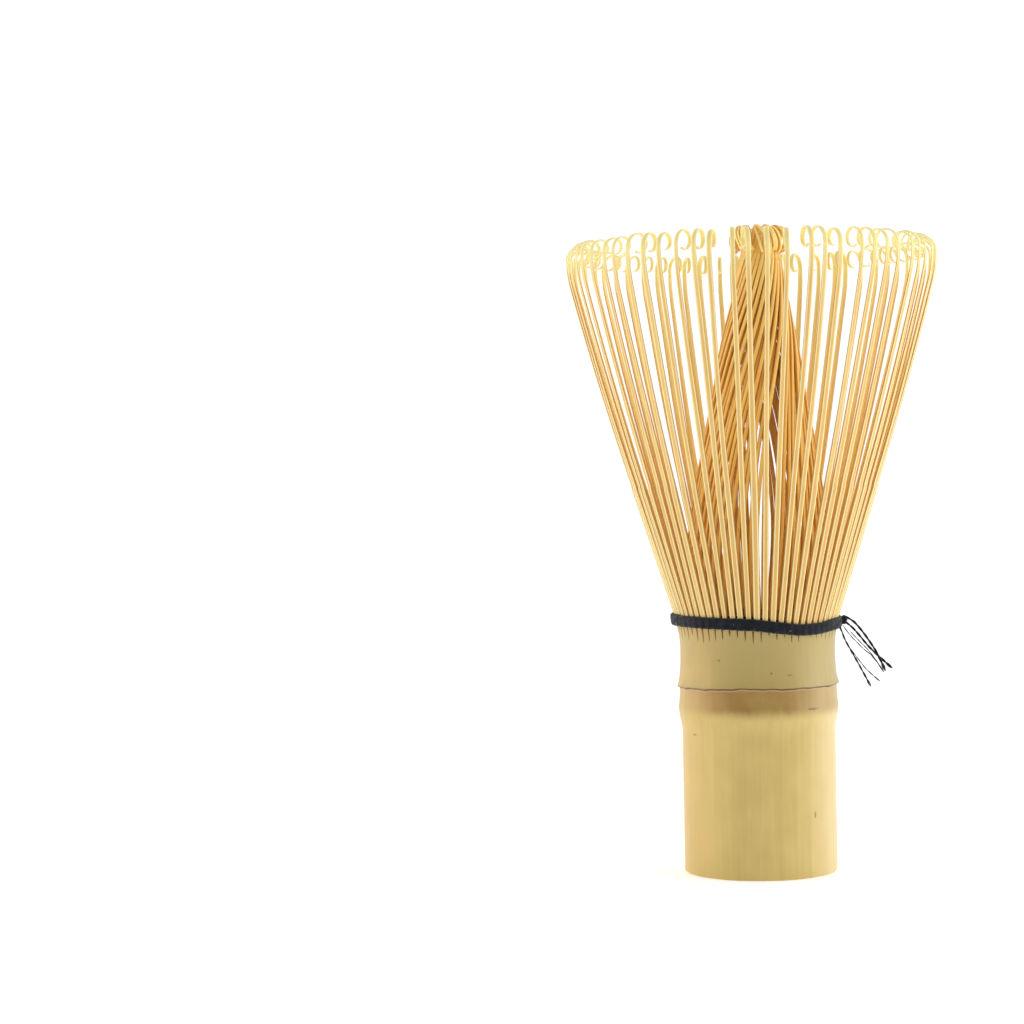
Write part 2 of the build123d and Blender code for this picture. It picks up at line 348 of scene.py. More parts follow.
def settle(piece: bpy.types.Object, slot: Slot, nodes: Iterable[str], body: str = "culm") -> None:
    """A rigid piece rides on its body and stands for its CAD nodes."""
    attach(piece, body)
    declare(piece, slot, nodes)


def declare(piece: bpy.types.Object, slot: Slot, nodes: Iterable[str]) -> None:
    """A piece stands for its CAD nodes."""
    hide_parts(*nodes)
    LOG.info("built %s: %d faces", piece.name, len(piece.data.polygons))


# ---- finishes ------------------------------------------------------------------
class ShaderTree(Tree):
    """The node tree of one material."""

    def __init__(self, name: str) -> None:
        """Args: name: the material's name."""
        self.material = bpy.data.materials.new(name)
        self.material.use_nodes = True
        super().__init__(self.material.node_tree)
        self.shader = self.tree.nodes["Principled BSDF"]
        self.coordinates = self.flow("ShaderNodeTexCoord", out="Object")

    def attribute(self, name: str, out: str = "Fac") -> Flow:
        """A stored attribute of the mesh."""
        return self.flow("ShaderNodeAttribute", out=out, attribute_name=name)

    def blend(self, factor: Term, first: object, second: object) -> Flow:
        """Two colours mixed."""
        inputs = {0: factor, 6: first, 7: second}
        return self.flow("ShaderNodeMix", inputs, 2, data_type="RGBA")

    def stretched(self, vector: Flow, z_scale: float) -> Flow:
        """Coordinates squeezed along Z, so that a pattern runs up and down."""
        x, y, z = self.parts(vector)
        return self.vector(x, y, z * z_scale)

    def finish(self, colour: Flow, height: Flow, depth: float, **shader: object) -> bpy.types.Material:
        """Wires the shader.

        Args:
            colour: base colour.
            height: relief, from 0 to 1.
            depth: how deep that relief is, in metres.
            shader: uniform values of the shader's sockets, with _ for each space.

        Returns:
            The material.
        """
        bump = self.flow("ShaderNodeBump", {"Height": height, "Distance": depth, "Strength": 1.0},
                         "Normal")
        self.tree.links.new(colour.socket, self.shader.inputs["Base Color"])
        self.tree.links.new(bump.socket, self.shader.inputs["Normal"])
        for name, value in shader.items():
            self.shader.inputs[name.replace("_", " ")].default_value = value
        return self.material


@dataclass(frozen=True)
class CulmSkin:
    """Bare outside of the culm: vertical fibres, a stain under the sheath scar, specks, painted light on
    the right side of the grip and painted shade in the slits.
    """

    name: str = "bamboo_skin"
    light: Colour = paint(217, 193, 119)
    dark: Colour = paint(202, 172, 97)
    shoulder: Colour = paint(177, 156, 92)
    warm: Colour = paint(222, 176, 90)
    # Painted light: pale is the lighter colour painted on the right side of the grip.
    pale: Colour = paint(240, 222, 172)
    stain: Colour = paint(150, 112, 48)
    stain_warm: Colour = paint(184, 142, 76)
    scar: Colour = paint(104, 72, 42)
    scar_edge: Colour = paint(204, 170, 126)
    # Painted shade: slit is the darker colour painted into the slits between the teeth.
    slit: Colour = paint(160, 112, 56)
    speck: Colour = paint(108, 74, 38)
    # Where each blemish is across the front and up, and its half width and half height.
    blemishes: tuple[tuple[float, float, float, float], ...] = (
        (-6.6 * MM, 37.6 * MM, 0.25 * MM, 0.2 * MM), (2.3 * MM, 35.4 * MM, 0.2 * MM, 0.2 * MM),
        (9.3 * MM, 29.0 * MM, 0.9 * MM, 0.22 * MM), (-11.0 * MM, 24.5 * MM, 0.3 * MM, 0.15 * MM),
        (9.4 * MM, 10.8 * MM, 0.15 * MM, 0.6 * MM), (5.4 * MM, 35.0 * MM, 0.5 * MM, 0.12 * MM))
    streak_scale: float = 700.0
    fibre_scale: float = 2600.0
    fibre_stretch: float = 0.02
    streak_stretch: float = 0.05
    stain_low: float = 27.2 * MM
    stain_full: float = 29.4 * MM
    scar_height: float = 32.6 * MM
    relief: float = 0.02 * MM

    def spots(self, tree: ShaderTree, x: Flow, y: Flow, z: Flow) -> Flow:
        """How strongly each point of the front is darkened by a blemish."""
        ragged = (tree.noise(tree.coordinates, 2400.0) - 0.5) * 1.4
        total = None
        for across, up, half_width, half_height in self.blemishes:
            away = tree.math("SQRT", tree.math("ABSOLUTE", (x - across) / half_width) ** 2.0
                             + tree.math("ABSOLUTE", (z - up) / half_height) ** 2.0)
            spot = tree.ramp(away + ragged, 1.25, 0.6)
            total = spot if total is None else tree.math("MAXIMUM", total, spot)
        return total * tree.math("LESS_THAN", y, 0.0)

    def make(self) -> bpy.types.Material:
        """Builds the material."""
        tree = ShaderTree(self.name)
        place = tree.coordinates
        x, y, z = tree.parts(place)
        streaks = tree.noise(tree.stretched(place, self.streak_stretch), self.streak_scale, 3.0)
        fibres = tree.noise(tree.stretched(place, self.fibre_stretch), self.fibre_scale, 2.0)
        mottle = tree.noise(place, 160.0, 3.0)
        tone = tree.ramp(streaks * 0.5 + fibres * 0.3 + mottle * 0.7, 0.35, 1.15)
        colour = tree.blend(tone, self.dark, self.light)
        rise = tree.attribute("rise")
        colour = tree.blend(tree.ramp(rise, 0.0, 0.1 * MM, 0.0, 0.9), colour, self.shoulder)
        left = tree.ramp(x, -4.0 * MM, -12.5 * MM) * tree.ramp(mottle, 0.3, 0.7, 0.25, 0.9)
        colour = tree.blend(left * 0.6, colour, self.warm)
        # Painted light: the right side of the grip, mostly below the scar, is painted paler, as if lit
        # more strongly from the right.
        right = tree.ramp(x, 7.0 * MM, 13.0 * MM, 0.0, 0.4) * tree.ramp(rise, 0.0, 0.1 * MM, 1.0, 0.3)
        colour = tree.blend(right, colour, self.pale)
        # The stain under the scar is strongest on the left and runs down in streaks.
        edge = z + (streaks - 0.5) * 1.0 * MM + (mottle - 0.5) * 1.5 * MM
        band = tree.ramp(edge, self.stain_low, self.stain_full) * tree.ramp(
            z, self.scar_height + 0.3 * MM, self.scar_height, 0.0, 1.0)
        side = tree.ramp(x, 12.0 * MM, 3.0 * MM, 0.55, 1.0) * tree.ramp(x, -13.4 * MM, -9.0 * MM, 0.4, 1.0)
        tint = tree.blend(tree.ramp(x, -4.0 * MM, -11.0 * MM), self.stain, self.stain_warm)
        colour = tree.blend(band * side * tree.ramp(mottle, 0.25, 0.7, 0.7, 1.0), colour, tint)
        near = tree.ramp(tree.math("ABSOLUTE", rise + 0.05 * MM), 0.05 * MM, 0.22 * MM, 1.0, 0.0)
        under = tree.ramp(tree.math("ABSOLUTE", rise + 0.32 * MM), 0.05 * MM, 0.2 * MM, 0.65, 0.0)
        colour = tree.blend(under, colour, self.scar_edge)
        colour = tree.blend(near * 0.9, colour, self.scar)
        colour = tree.blend(self.spots(tree, x, y, z) * 0.6, colour, self.speck)
        # Painted shade: the slit floors and the teeth's edges beside them are painted darker.
        slit = tree.attribute("slit")
        colour = tree.blend(slit * 0.8, colour, self.slit)
        return tree.finish(colour, streaks * 0.5 + fibres * 0.5, self.relief, Roughness=0.42,
                           Specular_IOR_Level=0.45, Coat_Weight=0.08, Coat_Roughness=0.3)


@dataclass(frozen=True)
class Pith:
    """Matte inside of the culm: cut fibre ends and faint rings."""

    name: str = "bamboo_pith"
    light: Colour = paint(232, 212, 158)
    dark: Colour = paint(190, 156, 96)
    grain_scale: float = 900.0
    relief: float = 0.06 * MM

    def make(self) -> bpy.types.Material:
        """Builds the material."""
        tree = ShaderTree(self.name)
        mottle = tree.noise(tree.coordinates, 260.0, 4.0)
        grains = tree.flow("ShaderNodeTexVoronoi",
                           {"Vector": tree.coordinates, "Scale": self.grain_scale}, "Distance")
        tone = tree.ramp(mottle + grains * 0.5, 0.35, 0.95)
        colour = tree.blend(tone, self.dark, self.light)
        return tree.finish(colour, mottle, self.relief, Roughness=0.75, Specular_IOR_Level=0.2)


@dataclass(frozen=True)
class TineGrain:
    """Split bamboo of a tine. Its pattern follows the tine's own attributes, and it paints light and
    shade: the front edges, the tips, the inner faces, the flat sides and the inner layer.
    """

    name: str
    low: Colour
    high: Colour
    # edge is painted on the front edges and curls: a painted highlight on the outer tines, painted shade
    # on the inner ones.
    edge: Colour
    dark: Colour
    # Painted light: tip brightens the curled tips and the knot's tips, standing in for light shining
    # through thin bamboo.
    tip: Colour
    # Painted light: inside brightens the faces turned towards the axis, standing in for light reaching the
    # tines at the back.
    inside: Colour
    grain: float = 1500.0
    # Painted shade: side darkens the flat sides of a strip.
    side: Colour = paint(206, 146, 70)
    # Painted shade: deep darkens the inner layer of the inner tines.
    deep: Colour = paint(206, 134, 50)
    edge_from: float = 0.3
    edge_to: float = 0.8
    edge_share: float = 0.9
    side_share: float = 0.75
    tip_share: float = 0.7
    shade_spread: float = 0.4
    relief: float = 0.03 * MM

    def make(self) -> bpy.types.Material:
        """Builds the material."""
        tree = ShaderTree(self.name)
        across, depth, along = tree.parts(tree.attribute("fibre", "Vector"))
        shade = tree.attribute("shade")
        slid = tree.vector(across + shade, depth, along * 0.03)
        grain = tree.noise(slid, self.grain, 3.0)
        patches = tree.noise(tree.vector(across, shade, along), 140.0, 2.0)
        colour = tree.blend(tree.attribute("skin"), self.high, self.low)
        tone = tree.ramp(grain * 0.55 + patches * 0.45, 0.38, 0.66, 0.42, 0.0)
        colour = tree.blend(tone, colour, self.dark)
        colour = tree.blend(shade * self.shade_spread, colour, self.dark)
        out = tree.attribute("out")
        # Painted light: the inner faces are painted lighter, standing in for light that reaches the back
        # of the tines.
        colour = tree.blend(tree.ramp(out, -0.5, -0.8) * 0.8, colour, self.inside)
        side = tree.ramp(tree.attribute("side"), self.edge_from, self.edge_to)
        curl = tree.attribute("curl")
        # Painted light: the curled tips are painted brighter, standing in for light shining through thin
        # bamboo.
        colour = tree.blend(curl * self.tip_share, colour, self.tip)
        # Painted highlight on the outer tines' front edges and curls; on the inner tines this edge colour
        # is painted shade.
        rim = side * tree.math("MAXIMUM", tree.ramp(out, 0.4, 0.75), curl) * self.edge_share
        colour = tree.blend(rim, colour, self.edge)
        # Painted shade: the flat sides of the strip, away from the curls, are painted darker.
        flank_shade = tree.ramp(tree.math("ABSOLUTE", out), 0.75, 0.5, 0.0, self.side_share)
        colour = tree.blend(flank_shade * (1.0 - curl), colour, self.side)
        # Painted shade: the inner layer is painted darker towards the knot.
        colour = tree.blend(tree.attribute("deep") * 0.8, colour, self.deep)
        return tree.finish(colour, grain, self.relief, Roughness=0.42, Specular_IOR_Level=0.4)


@dataclass(frozen=True)
class Cotton:
    """Dyed cotton thread: dark, dull and slightly fuzzy."""

    name: str
    light: Colour
    dark: Colour
    strand_scale: float = 5000.0
    relief: float = 0.05 * MM

    def make(self) -> bpy.types.Material:
        """Builds the material."""
        tree = ShaderTree(self.name)
        strands = tree.noise(tree.coordinates, self.strand_scale, 3.0, 0.7)
        mottle = tree.noise(tree.coordinates, 900.0, 2.0)
        colour = tree.blend(tree.ramp(strands * 0.6 + mottle * 0.4, 0.35, 0.7), self.dark, self.light)
        return tree.finish(colour, strands, self.relief, Roughness=0.95, Specular_IOR_Level=0.12,
                           Sheen_Weight=0.25, Sheen_Roughness=0.5)


# ---- culm ----------------------------------------------------------------------
@dataclass
class Culm:
    """The culm: straight grip, swollen node ring and shoulder with its crown of teeth."""

    radius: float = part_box("culm_grip")[1].x
    grip_top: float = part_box("culm_grip")[1].z
    scar_height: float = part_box("culm_node_ring")[1].z
    tooth_top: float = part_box("culm_shoulder")[1].z
    tooth_radius: float = 13.98 * MM
    bore: float = 9.3 * MM
    diaphragm_radius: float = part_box("culm_diaphragm")[1].x
    diaphragm_bottom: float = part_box("culm_diaphragm")[0].z
    cup_radius: float = 10.6 * MM
    cup_floor_radius: float = 9.9 * MM
    tooth_inner: float = 12.75 * MM
    ridge: tuple[float, float] = (13.9 * MM, 28.8 * MM)
    lip: float = 14.05 * MM
    ring_top: float = 13.62 * MM
    waist: float = 13.45 * MM
    columns: int = 512
    per_tooth: int = 8
    slit_half: float = 0.19 * MM
    slit_floor: float = 13.45 * MM
    split: float = 41.3 * MM
    # How far the slits' roots and breadths vary, and where a tooth's columns stand in it.
    root_spread: tuple[float, float] = (-0.9, 0.6)
    breadth_spread: tuple[float, float] = (0.55, 1.0)
    tooth_places: tuple[float, ...] = (-0.5, -0.47, -0.34, -0.18, 0.0, 0.18, 0.34, 0.47)

    def waves(self, azimuth: np.ndarray) -> np.ndarray:
        """How far the scar line wanders up and down."""
        return MM * (0.16 * np.sin(azimuth + 2.2) + 0.1 * np.sin(3 * azimuth + 0.6)
                     + 0.06 * np.sin(7 * azimuth + 1.0) + 0.04 * np.sin(17 * azimuth)
                     + 0.03 * np.sin(31 * azimuth + 0.5))

    def flutes(self, azimuth: np.ndarray) -> np.ndarray:
        """Shallow unevenness round the culm, the same on each of its pieces."""
        return MM * (0.05 * np.sin(2 * azimuth + 0.4) + 0.02 * np.sin(9 * azimuth)
                     + 0.012 * np.sin(23 * azimuth + 1.3) + 0.008 * np.sin(57 * azimuth))

    def lathe(self, name: str, outline: list[tuple[float, float, float, float]]) -> bpy.types.Mesh:
        """Turns a closed outline about the whisk's axis.

        Args:
            name: the mesh's name.
            outline: radius, height, share of the flutes and share of the scar's waves.

        Returns:
            The mesh, with its rise above the scar line.
        """
        azimuth = np.arange(self.columns) * FULL_TURN / self.columns
        flutes, waves = self.flutes(azimuth), self.waves(azimuth)
        rows, rise = [], []
        for radius, height, fluted, waved in outline:
            reach = radius + flutes * fluted
            level = height + waves * waved
            rows.append(np.stack([reach * np.cos(azimuth), reach * np.sin(azimuth), level], 1))
            rise.append(level - self.scar_height - waves)
        mesh = solid(name, np.concatenate(rows), grid_faces(len(rows), self.columns, True))
        label(mesh, "rise", np.concatenate(rise))
        label(mesh, "slit", np.zeros(len(rows) * self.columns))
        return mesh

    def grip(self) -> bpy.types.Mesh:
        """Straight tube with a softened foot."""
        soft = 0.4 * MM
        outline = [(self.bore, soft, 0, 0), (self.bore + 0.15 * MM, 0, 0, 0),
                   (self.radius - soft - 0.5 * MM, 0, 0.5, 0)]
        for step in range(5):
            angle = math.radians(90 - 22.5 * step)
            outline.append((self.radius - soft * (1 - math.cos(angle)),
                            soft * (1 - math.sin(angle)), 1, 0))
        outline += [(self.radius, z, 1, 0) for z in np.linspace(1 * MM, self.grip_top, 24)]
        outline += [(self.bore, z, 0, 0) for z in np.linspace(self.grip_top, 2 * MM, 12)]
        return self.lathe("culm_grip_skin", outline)

    def ring_radius(self, height: float) -> float:
        """Outer radius of the node ring: ridge, waist, and a small lip under the scar."""
        rise = (height - self.grip_top) / (self.ridge[1] - self.grip_top)
        fall = (height - self.ridge[1]) / (self.scar_height - self.ridge[1])
        if rise <= 1:
            return self.radius + (self.ridge[0] - self.radius) * rise * rise * (3 - 2 * rise)
        dip = math.sin(math.pi * min(fall, 1.0)) * 0.08 * MM
        return self.ridge[0] + (self.ring_top - self.ridge[0]) * fall ** 1.3 - dip

    def node_ring(self) -> bpy.types.Mesh:
        """Swollen ring below the scar line."""
        outline = []
        for z in np.linspace(self.grip_top, self.scar_height, 34):
            share = (z - self.grip_top) / (self.scar_height - self.grip_top)
            outline.append((self.ring_radius(z), z, 1, share ** 4))
        outline += [(self.diaphragm_radius, self.scar_height, 0, 0)]
        outline += [(self.diaphragm_radius, self.diaphragm_bottom, 0, 0)]
        outline += [(self.bore, self.diaphragm_bottom, 0, 0), (self.bore, self.grip_top, 0, 0)]
        return self.lathe("culm_ring_skin", outline)

    def shoulder_radius(self, height: np.ndarray) -> np.ndarray:
        """Outer radius of the shoulder: an overhanging lip, a waist and flaring teeth."""
        share = (height - self.scar_height) / (self.tooth_top - self.scar_height)
        lip = (self.lip - self.waist) * np.exp(-share / 0.16)
        flare = (self.tooth_radius - self.waist) * np.clip((share - 0.5) / 0.5, 0, 1) ** 2.0
        return self.waist + lip + flare

    def shoulder(self) -> bpy.types.Mesh:
        """Wall above the scar, ending in a crown of teeth between V slits of uneven depth."""
        roots = self.split + RANDOM.uniform(*self.root_spread, TINE_COUNT) * MM
        breadths = RANDOM.uniform(*self.breadth_spread, TINE_COUNT)
        places = np.array(self.tooth_places)
        levels = np.concatenate([
            self.scar_height + np.array([0, 0.08, 0.2, 0.4]) * MM,
            np.linspace(33.4 * MM, 40.3 * MM, 16), np.linspace(40.5 * MM, self.tooth_top, 18)])
        column = np.arange(self.columns)
        tooth, place = column // self.per_tooth, places[column % self.per_tooth]
        rows, rise, slits = [], [], []
        for height in levels:
            opened = np.clip((height - roots) / (self.tooth_top - roots), 0, 1)
            opened = (opened * (height > roots)) ** 0.75
            before = opened[(tooth - 1) % TINE_COUNT]
            before = before * breadths[(tooth - 1) % TINE_COUNT]
            gap = np.where(place < 0, before, opened[tooth] * breadths[tooth])
            half = gap * self.slit_half / (PITCH * self.tooth_radius)
            middle = column % self.per_tooth == 0
            squeezed = np.where(middle, place, place * (0.5 - half) / 0.5)
            azimuth = (tooth + squeezed) * PITCH
            waves = self.waves(azimuth)
            share = (height - self.scar_height) / (self.tooth_top - self.scar_height)
            level = height + waves * (1 - share) ** 4
            crown = 0.1 * MM * share ** 8 * (1 - (2 * place) ** 2)
            reach = self.shoulder_radius(np.full(self.columns, height)) + crown
            reach = reach + self.flutes(azimuth) * (1 - share)
            depth = np.where(middle, np.clip(before * 5, 0, 1), 0)
            reach = reach * (1 - depth) + self.slit_floor * depth
            rows.append(np.stack([reach * np.cos(azimuth), reach * np.sin(azimuth), level], 1))
            rise.append(level - self.scar_height - waves)
            # Mask of painted shade: full on the slit floors, half on the edge columns of each tooth.
            edge = np.abs(place) > 0.45
            slits.append(np.where(middle, np.clip(before * 8, 0, 1),
                                  np.where(edge, 0.5 * np.clip(gap * 4, 0, 1), 0)))
        azimuth = (tooth + place) * PITCH
        for radius, height in ((self.tooth_inner + 0.2 * MM, self.tooth_top),
                               (self.tooth_inner - 0.1 * MM, self.split),
                               (self.cup_radius, self.split),
                               (self.cup_floor_radius, self.scar_height + 1 * MM),
                               (self.diaphragm_radius, self.scar_height)):
            level = np.full(self.columns, height)
            rows.append(np.stack([radius * np.cos(azimuth), radius * np.sin(azimuth), level], 1))
            rise.append(np.full(self.columns, 5 * MM))
            slits.append(np.zeros(self.columns))
        mesh = solid("culm_shoulder_skin", np.concatenate(rows),
                     grid_faces(len(rows), self.columns, True))
        label(mesh, "rise", np.concatenate(rise))
        label(mesh, "slit", np.concatenate(slits))
        return mesh

    def build(self) -> None:
        """Builds and dresses the culm."""
        skin = CulmSkin().make()
        nodes = ("culm_grip", "culm_node_ring", "culm_shoulder")
        for mesh, node in zip((self.grip(), self.node_ring(), self.shoulder()), nodes):
            mesh.materials.append(skin)
            settle(link(bpy.data.objects.new(mesh.name, mesh)), Slot.CULM, [node])
        plate = frame["nodes"]["culm_diaphragm"]
        plate.data.materials.clear()
        plate.data.materials.append(Pith().make())


# ---- strips of bamboo ----------------------------------------------------------
@dataclass
class Station:
    """One cross-section of a strip, in the plane of the strip's own middle line.

    heading is the direction's angle from straight up, positive away from the axis. outer
    and inner are the strip's thickness on each side of its middle line.
    """

    radius: float
    height: float
    heading: float
    outer: float
    inner: float
    half_width: float
    along: float
    traits: dict[str, float] = field(default_factory=dict)


# A strip's cross-section, as shares of its half width and its thickness.
STRIP_RING = ((-1.0, 0.45), (-0.78, 0.94), (0.0, 1.06), (0.78, 0.94), (1.0, 0.45),
              (1.0, -0.5), (0.8, -0.96), (0.0, -1.0), (-0.8, -0.96), (-1.0, -0.5))


def strip(name: str, stations: Sequence[Station]) -> bpy.types.Mesh:
    """A closed strip through its stations, with the attributes that its finish reads."""
    points, fibre, side, outward = [], [], [], []
    for at in stations:
        for across, out in STRIP_RING:
            depth = out * (at.outer if out > 0 else at.inner)
            points.append((at.radius + depth * math.cos(at.heading), across * at.half_width,
                           at.height - depth * math.sin(at.heading)))
            fibre.append((across * at.half_width, depth, at.along))
            side.append(abs(across))
            outward.append(out)
    size = len(STRIP_RING)
    faces: list = grid_faces(len(stations), size, False)
    faces += [tuple(range(size)), tuple(range(len(points) - size, len(points)))]
    mesh = solid(name, np.array(points), faces, 60.0)
    label(mesh, "fibre", np.array(fibre))
    label(mesh, "side", np.array(side))
    label(mesh, "out", np.array(outward))
    for trait in stations[0].traits:
        values = [at.traits[trait] for at in stations for _ in range(size)]
        label(mesh, trait, np.array(values))
    return mesh


def between(low: float, high: float, share: float) -> float:
    """The value a share of the way from low to high."""
    return low + (high - low) * share


def row_tree(name: str, sockets: dict[str, str]) -> tuple[GeometryTree, Flow, Flow]:
    """Starts a tree that places one strip for each tine of a section.

    Args:
        name: the tree's name.
        sockets: its own inputs, besides the shared ones.

    Returns:
        The tree, the placed strips, and the tine that each point belongs to.
    """
    shared = {"First": "Int", "Count": "Int", "Stride": "Int", "Seed": "Int",
              "Blanks": "Collection", "Finish": "Material"}
    tree = GeometryTree(name, shared | sockets)
    index = tree.flow("GeometryNodeInputIndex") * tree.given("Stride") + tree.given("First")
    row = tree.flow("GeometryNodePoints", {"Count": tree.given("Count")})
    blanks = tree.flow("GeometryNodeCollectionInfo", {
        "Collection": tree.given("Blanks"), "Separate Children": True, "Reset Children": True})
    pick = tree.math("FLOOR", tree.chance(0.0, 2.999, index, 5))
    placed = tree.flow("GeometryNodeInstanceOnPoints", {
        "Points": row, "Instance": blanks, "Pick Instance": True, "Instance Index": pick})
    placed = tree.store(placed, "tine", index, "INT", "INSTANCE")
    real = tree.flow("GeometryNodeRealizeInstances", {"Geometry": placed})
    tine = tree.named("tine", "INT")
    real = tree.store(real, "shade", tree.chance(0.0, 1.0, tine, 6))
    return tree, real, tine


class Blanks:
    """The strips that a row tree picks from, in a collection of their own."""

    def __init__(self, name: str, meshes: Sequence[bpy.types.Mesh]) -> None:
        """Args: name: the collection's name. meshes: the strips."""
        self.collection = bpy.data.collections.new(name)
        bpy.context.scene.collection.children.link(self.collection)
        for mesh in meshes:
            self.collection.objects.link(bpy.data.objects.new(mesh.name, mesh))

    def clear(self) -> None:
        """Takes the strips out of the scene again."""
        for obj in list(self.collection.objects):
            bpy.data.objects.remove(obj)
        bpy.data.collections.remove(self.collection)


def row_of(name: str, tree: GeometryTree, blanks: Blanks, section: int, seed: int,
           finish: bpy.types.Material, **values: object) -> bpy.types.Object:
    """One section's row of strips, as one piece."""
    empty = bpy.data.meshes.new(name + "_empty")
    return grown(name, empty, tree, {
        "First": section * TINES_PER_SECTION, "Count": TINES_PER_SECTION, "Stride": 1,
        "Seed": seed, "Blanks": blanks.collection, "Finish": finish} | values)


# ---- outer tines ---------------------------------------------------------------
@dataclass(frozen=True)
class Curl:
    """Shape of one curled tip."""

    quarter_radius: float
    loop_radius: float
    loop_turn: float


@dataclass
class OuterTines:
    """Sixty-four flared tines with curled tips, in sixteen sections."""

    foot: tuple[float, float] = (13.55 * MM, HINGE_HEIGHT + 0.08 * MM)
    lean: float = math.radians(18.06)
    skin_run: float = 25.48 * MM
    flare_run: float = 35.8 * MM
    flare_turn: float = math.radians(3.55)
    rim_radius: float = 32.05 * MM
    rim_bend: float = 20.0 * MM
    foot_half: float = 0.46 * MM
    skin_half: float = 0.34 * MM
    skin_step: float = 0.13 * MM
    tip_half: float = 0.16 * MM
    foot_width: float = 1.0 * MM
    stem_width: float = 1.1 * MM
    tip_width: float = 0.88 * MM
    ledge: float = 0.3 * MM
    foot_taper: float = 0.8
    foot_taper_run: float = 1.6 * MM
    tip_thinning: float = 0.3
    steps: int = 12
    bend_end: float = 92.0 * MM
    curls: tuple[Curl, ...] = (
        Curl(2.4 * MM, 1.5 * MM, math.radians(206)), Curl(2.25 * MM, 1.35 * MM, math.radians(190)),
        Curl(2.55 * MM, 1.6 * MM, math.radians(222)))

    def blank(self, name: str, curl: Curl) -> bpy.types.Mesh:
        """One straight-standing tine in the XZ plane.

        Args:
            name: the mesh's name.
            curl: the shape of its tip.

        Returns:
            The strip.
        """
        skin_end = self.skin_run
        flare_end = skin_end + self.flare_run
        rim_end = flare_end + self.rim_bend * (self.lean - self.flare_turn)
        quarter_end = rim_end + curl.quarter_radius * math.pi / 2
        tip = quarter_end + curl.loop_radius * curl.loop_turn
        marks = np.unique(np.concatenate([
            np.linspace(0, skin_end, 15), [0.5 * MM, skin_end + self.ledge],
            np.linspace(skin_end + self.ledge, flare_end, 14), np.linspace(flare_end, rim_end, 6),
            np.linspace(rim_end, quarter_end, 9), np.linspace(quarter_end, tip, 15)]).round(7))
        stations = []
        radius, height, heading, before = self.foot[0], self.foot[1], self.lean, 0.0
        for along in marks:
            for _ in range(self.steps):
                length = (along - before) / self.steps
                middle = before + length / 2
                if middle > quarter_end:
                    bend = 1 / curl.loop_radius
                elif middle > rim_end:
                    bend = 1 / curl.quarter_radius
                elif middle > flare_end:
                    bend = 1 / self.rim_bend
                elif middle > skin_end:
                    bend = self.flare_turn / self.flare_run
                else:
                    bend = 0.0
                heading -= bend * length
                radius += math.sin(heading) * length
                height += math.cos(heading) * length
                before += length
            stations.append(self.station(radius, height, heading, along, (skin_end, flare_end,
                                                                         rim_end, tip)))
        return strip(name, stations)

    def station(self, radius: float, height: float, heading: float, along: float,
                ends: tuple[float, float, float, float]) -> Station:
        """One cross-section of a tine.

        Args:
            radius: the middle line's distance from the whisk's axis.
            height: the middle line's height.
            heading: its direction.
            along: length from the foot.
            ends: where the skin, the flare, the rim and the whole tine end.

        Returns:
            The station.
        """
        skin_end, flare_end, rim_end, tip = ends
        share = min(max((along - skin_end) / (flare_end - skin_end), 0.0), 1.0)
        if along <= skin_end:
            outer = inner = between(self.foot_half, self.skin_half, along / skin_end)
        else:
            inner = between(self.skin_half, self.tip_half, share)
            outer = between(self.skin_half - self.skin_step, self.tip_half, share)
        width = between(self.foot_width, self.stem_width, min(along / skin_end, 1.0))
        width = between(width, self.tip_width, share)
        width *= between(self.foot_taper, 1.0, min(along / self.foot_taper_run, 1.0))
        thin = 1.0 - self.tip_thinning * max(0.0, (along - rim_end) / (tip - rim_end)) ** 3
        curl = min(max((along - flare_end) / (rim_end - flare_end), 0.0), 1.0)
        traits = {"curl": curl, "skin": 1.0 if along <= skin_end else 0.0,
                  "share": along / tip}
        return Station(radius, height, heading, outer * thin, inner * thin, width / 2 * thin,
                       along, traits)

    def tree(self) -> GeometryTree:
        """The tree that gives each tine its own width, lean, bow and curl."""
        tree, row, tine = row_tree("outer_tine_row", {
            "Pitch": "Float", "Sway": "Float", "Splay": "Float", "Twist": "Float",
            "Bow": "Float"})
        foot = (self.foot[0], 0.0, self.foot[1])
        rim = (self.rim_radius, 0.0, self.foot[1])
        x, y, z = tree.parts(tree.flow("GeometryNodeInputPosition"))
        share = tree.named("share")
        wave = tree.math("SINE", share * math.pi)
        ripple = tree.math("SINE", share * tree.chance(5.0, 9.0, tine, 7)
                           + tree.chance(0.0, 6.0, tine, 8))
        width = tree.chance(0.84, 1.1, tine, 9) + ripple * 0.06
        bow = tree.given("Bow")
        y = y * width + bow * wave * tree.chance(-1.0, 1.0, tine, 10) \
            + bow * 0.3 * ripple * wave
        x = x + bow * wave * tree.chance(-0.8, 0.3, tine, 11)
        place = tree.vector(x, y, z)
        curl = tree.named("curl")
        place = tree.turn(place, tree.given("Twist") * tree.chance(-1.0, 1.0, tine, 12) * curl,
                          centre=rim)
        place = tree.turn(place, tree.given("Sway") * tree.chance(-1.0, 1.0, tine, 13), "X_AXIS",
                          foot)
        place = tree.turn(place, tree.given("Splay") * tree.chance(-1.0, 0.0, tine, 14), "Y_AXIS",
                          foot)
        place = tree.turn(place, tine * tree.given("Pitch"))
        tree.close(tree.move(row, place))
        return tree

    def build(self) -> None:
        """Builds the sixteen sections."""
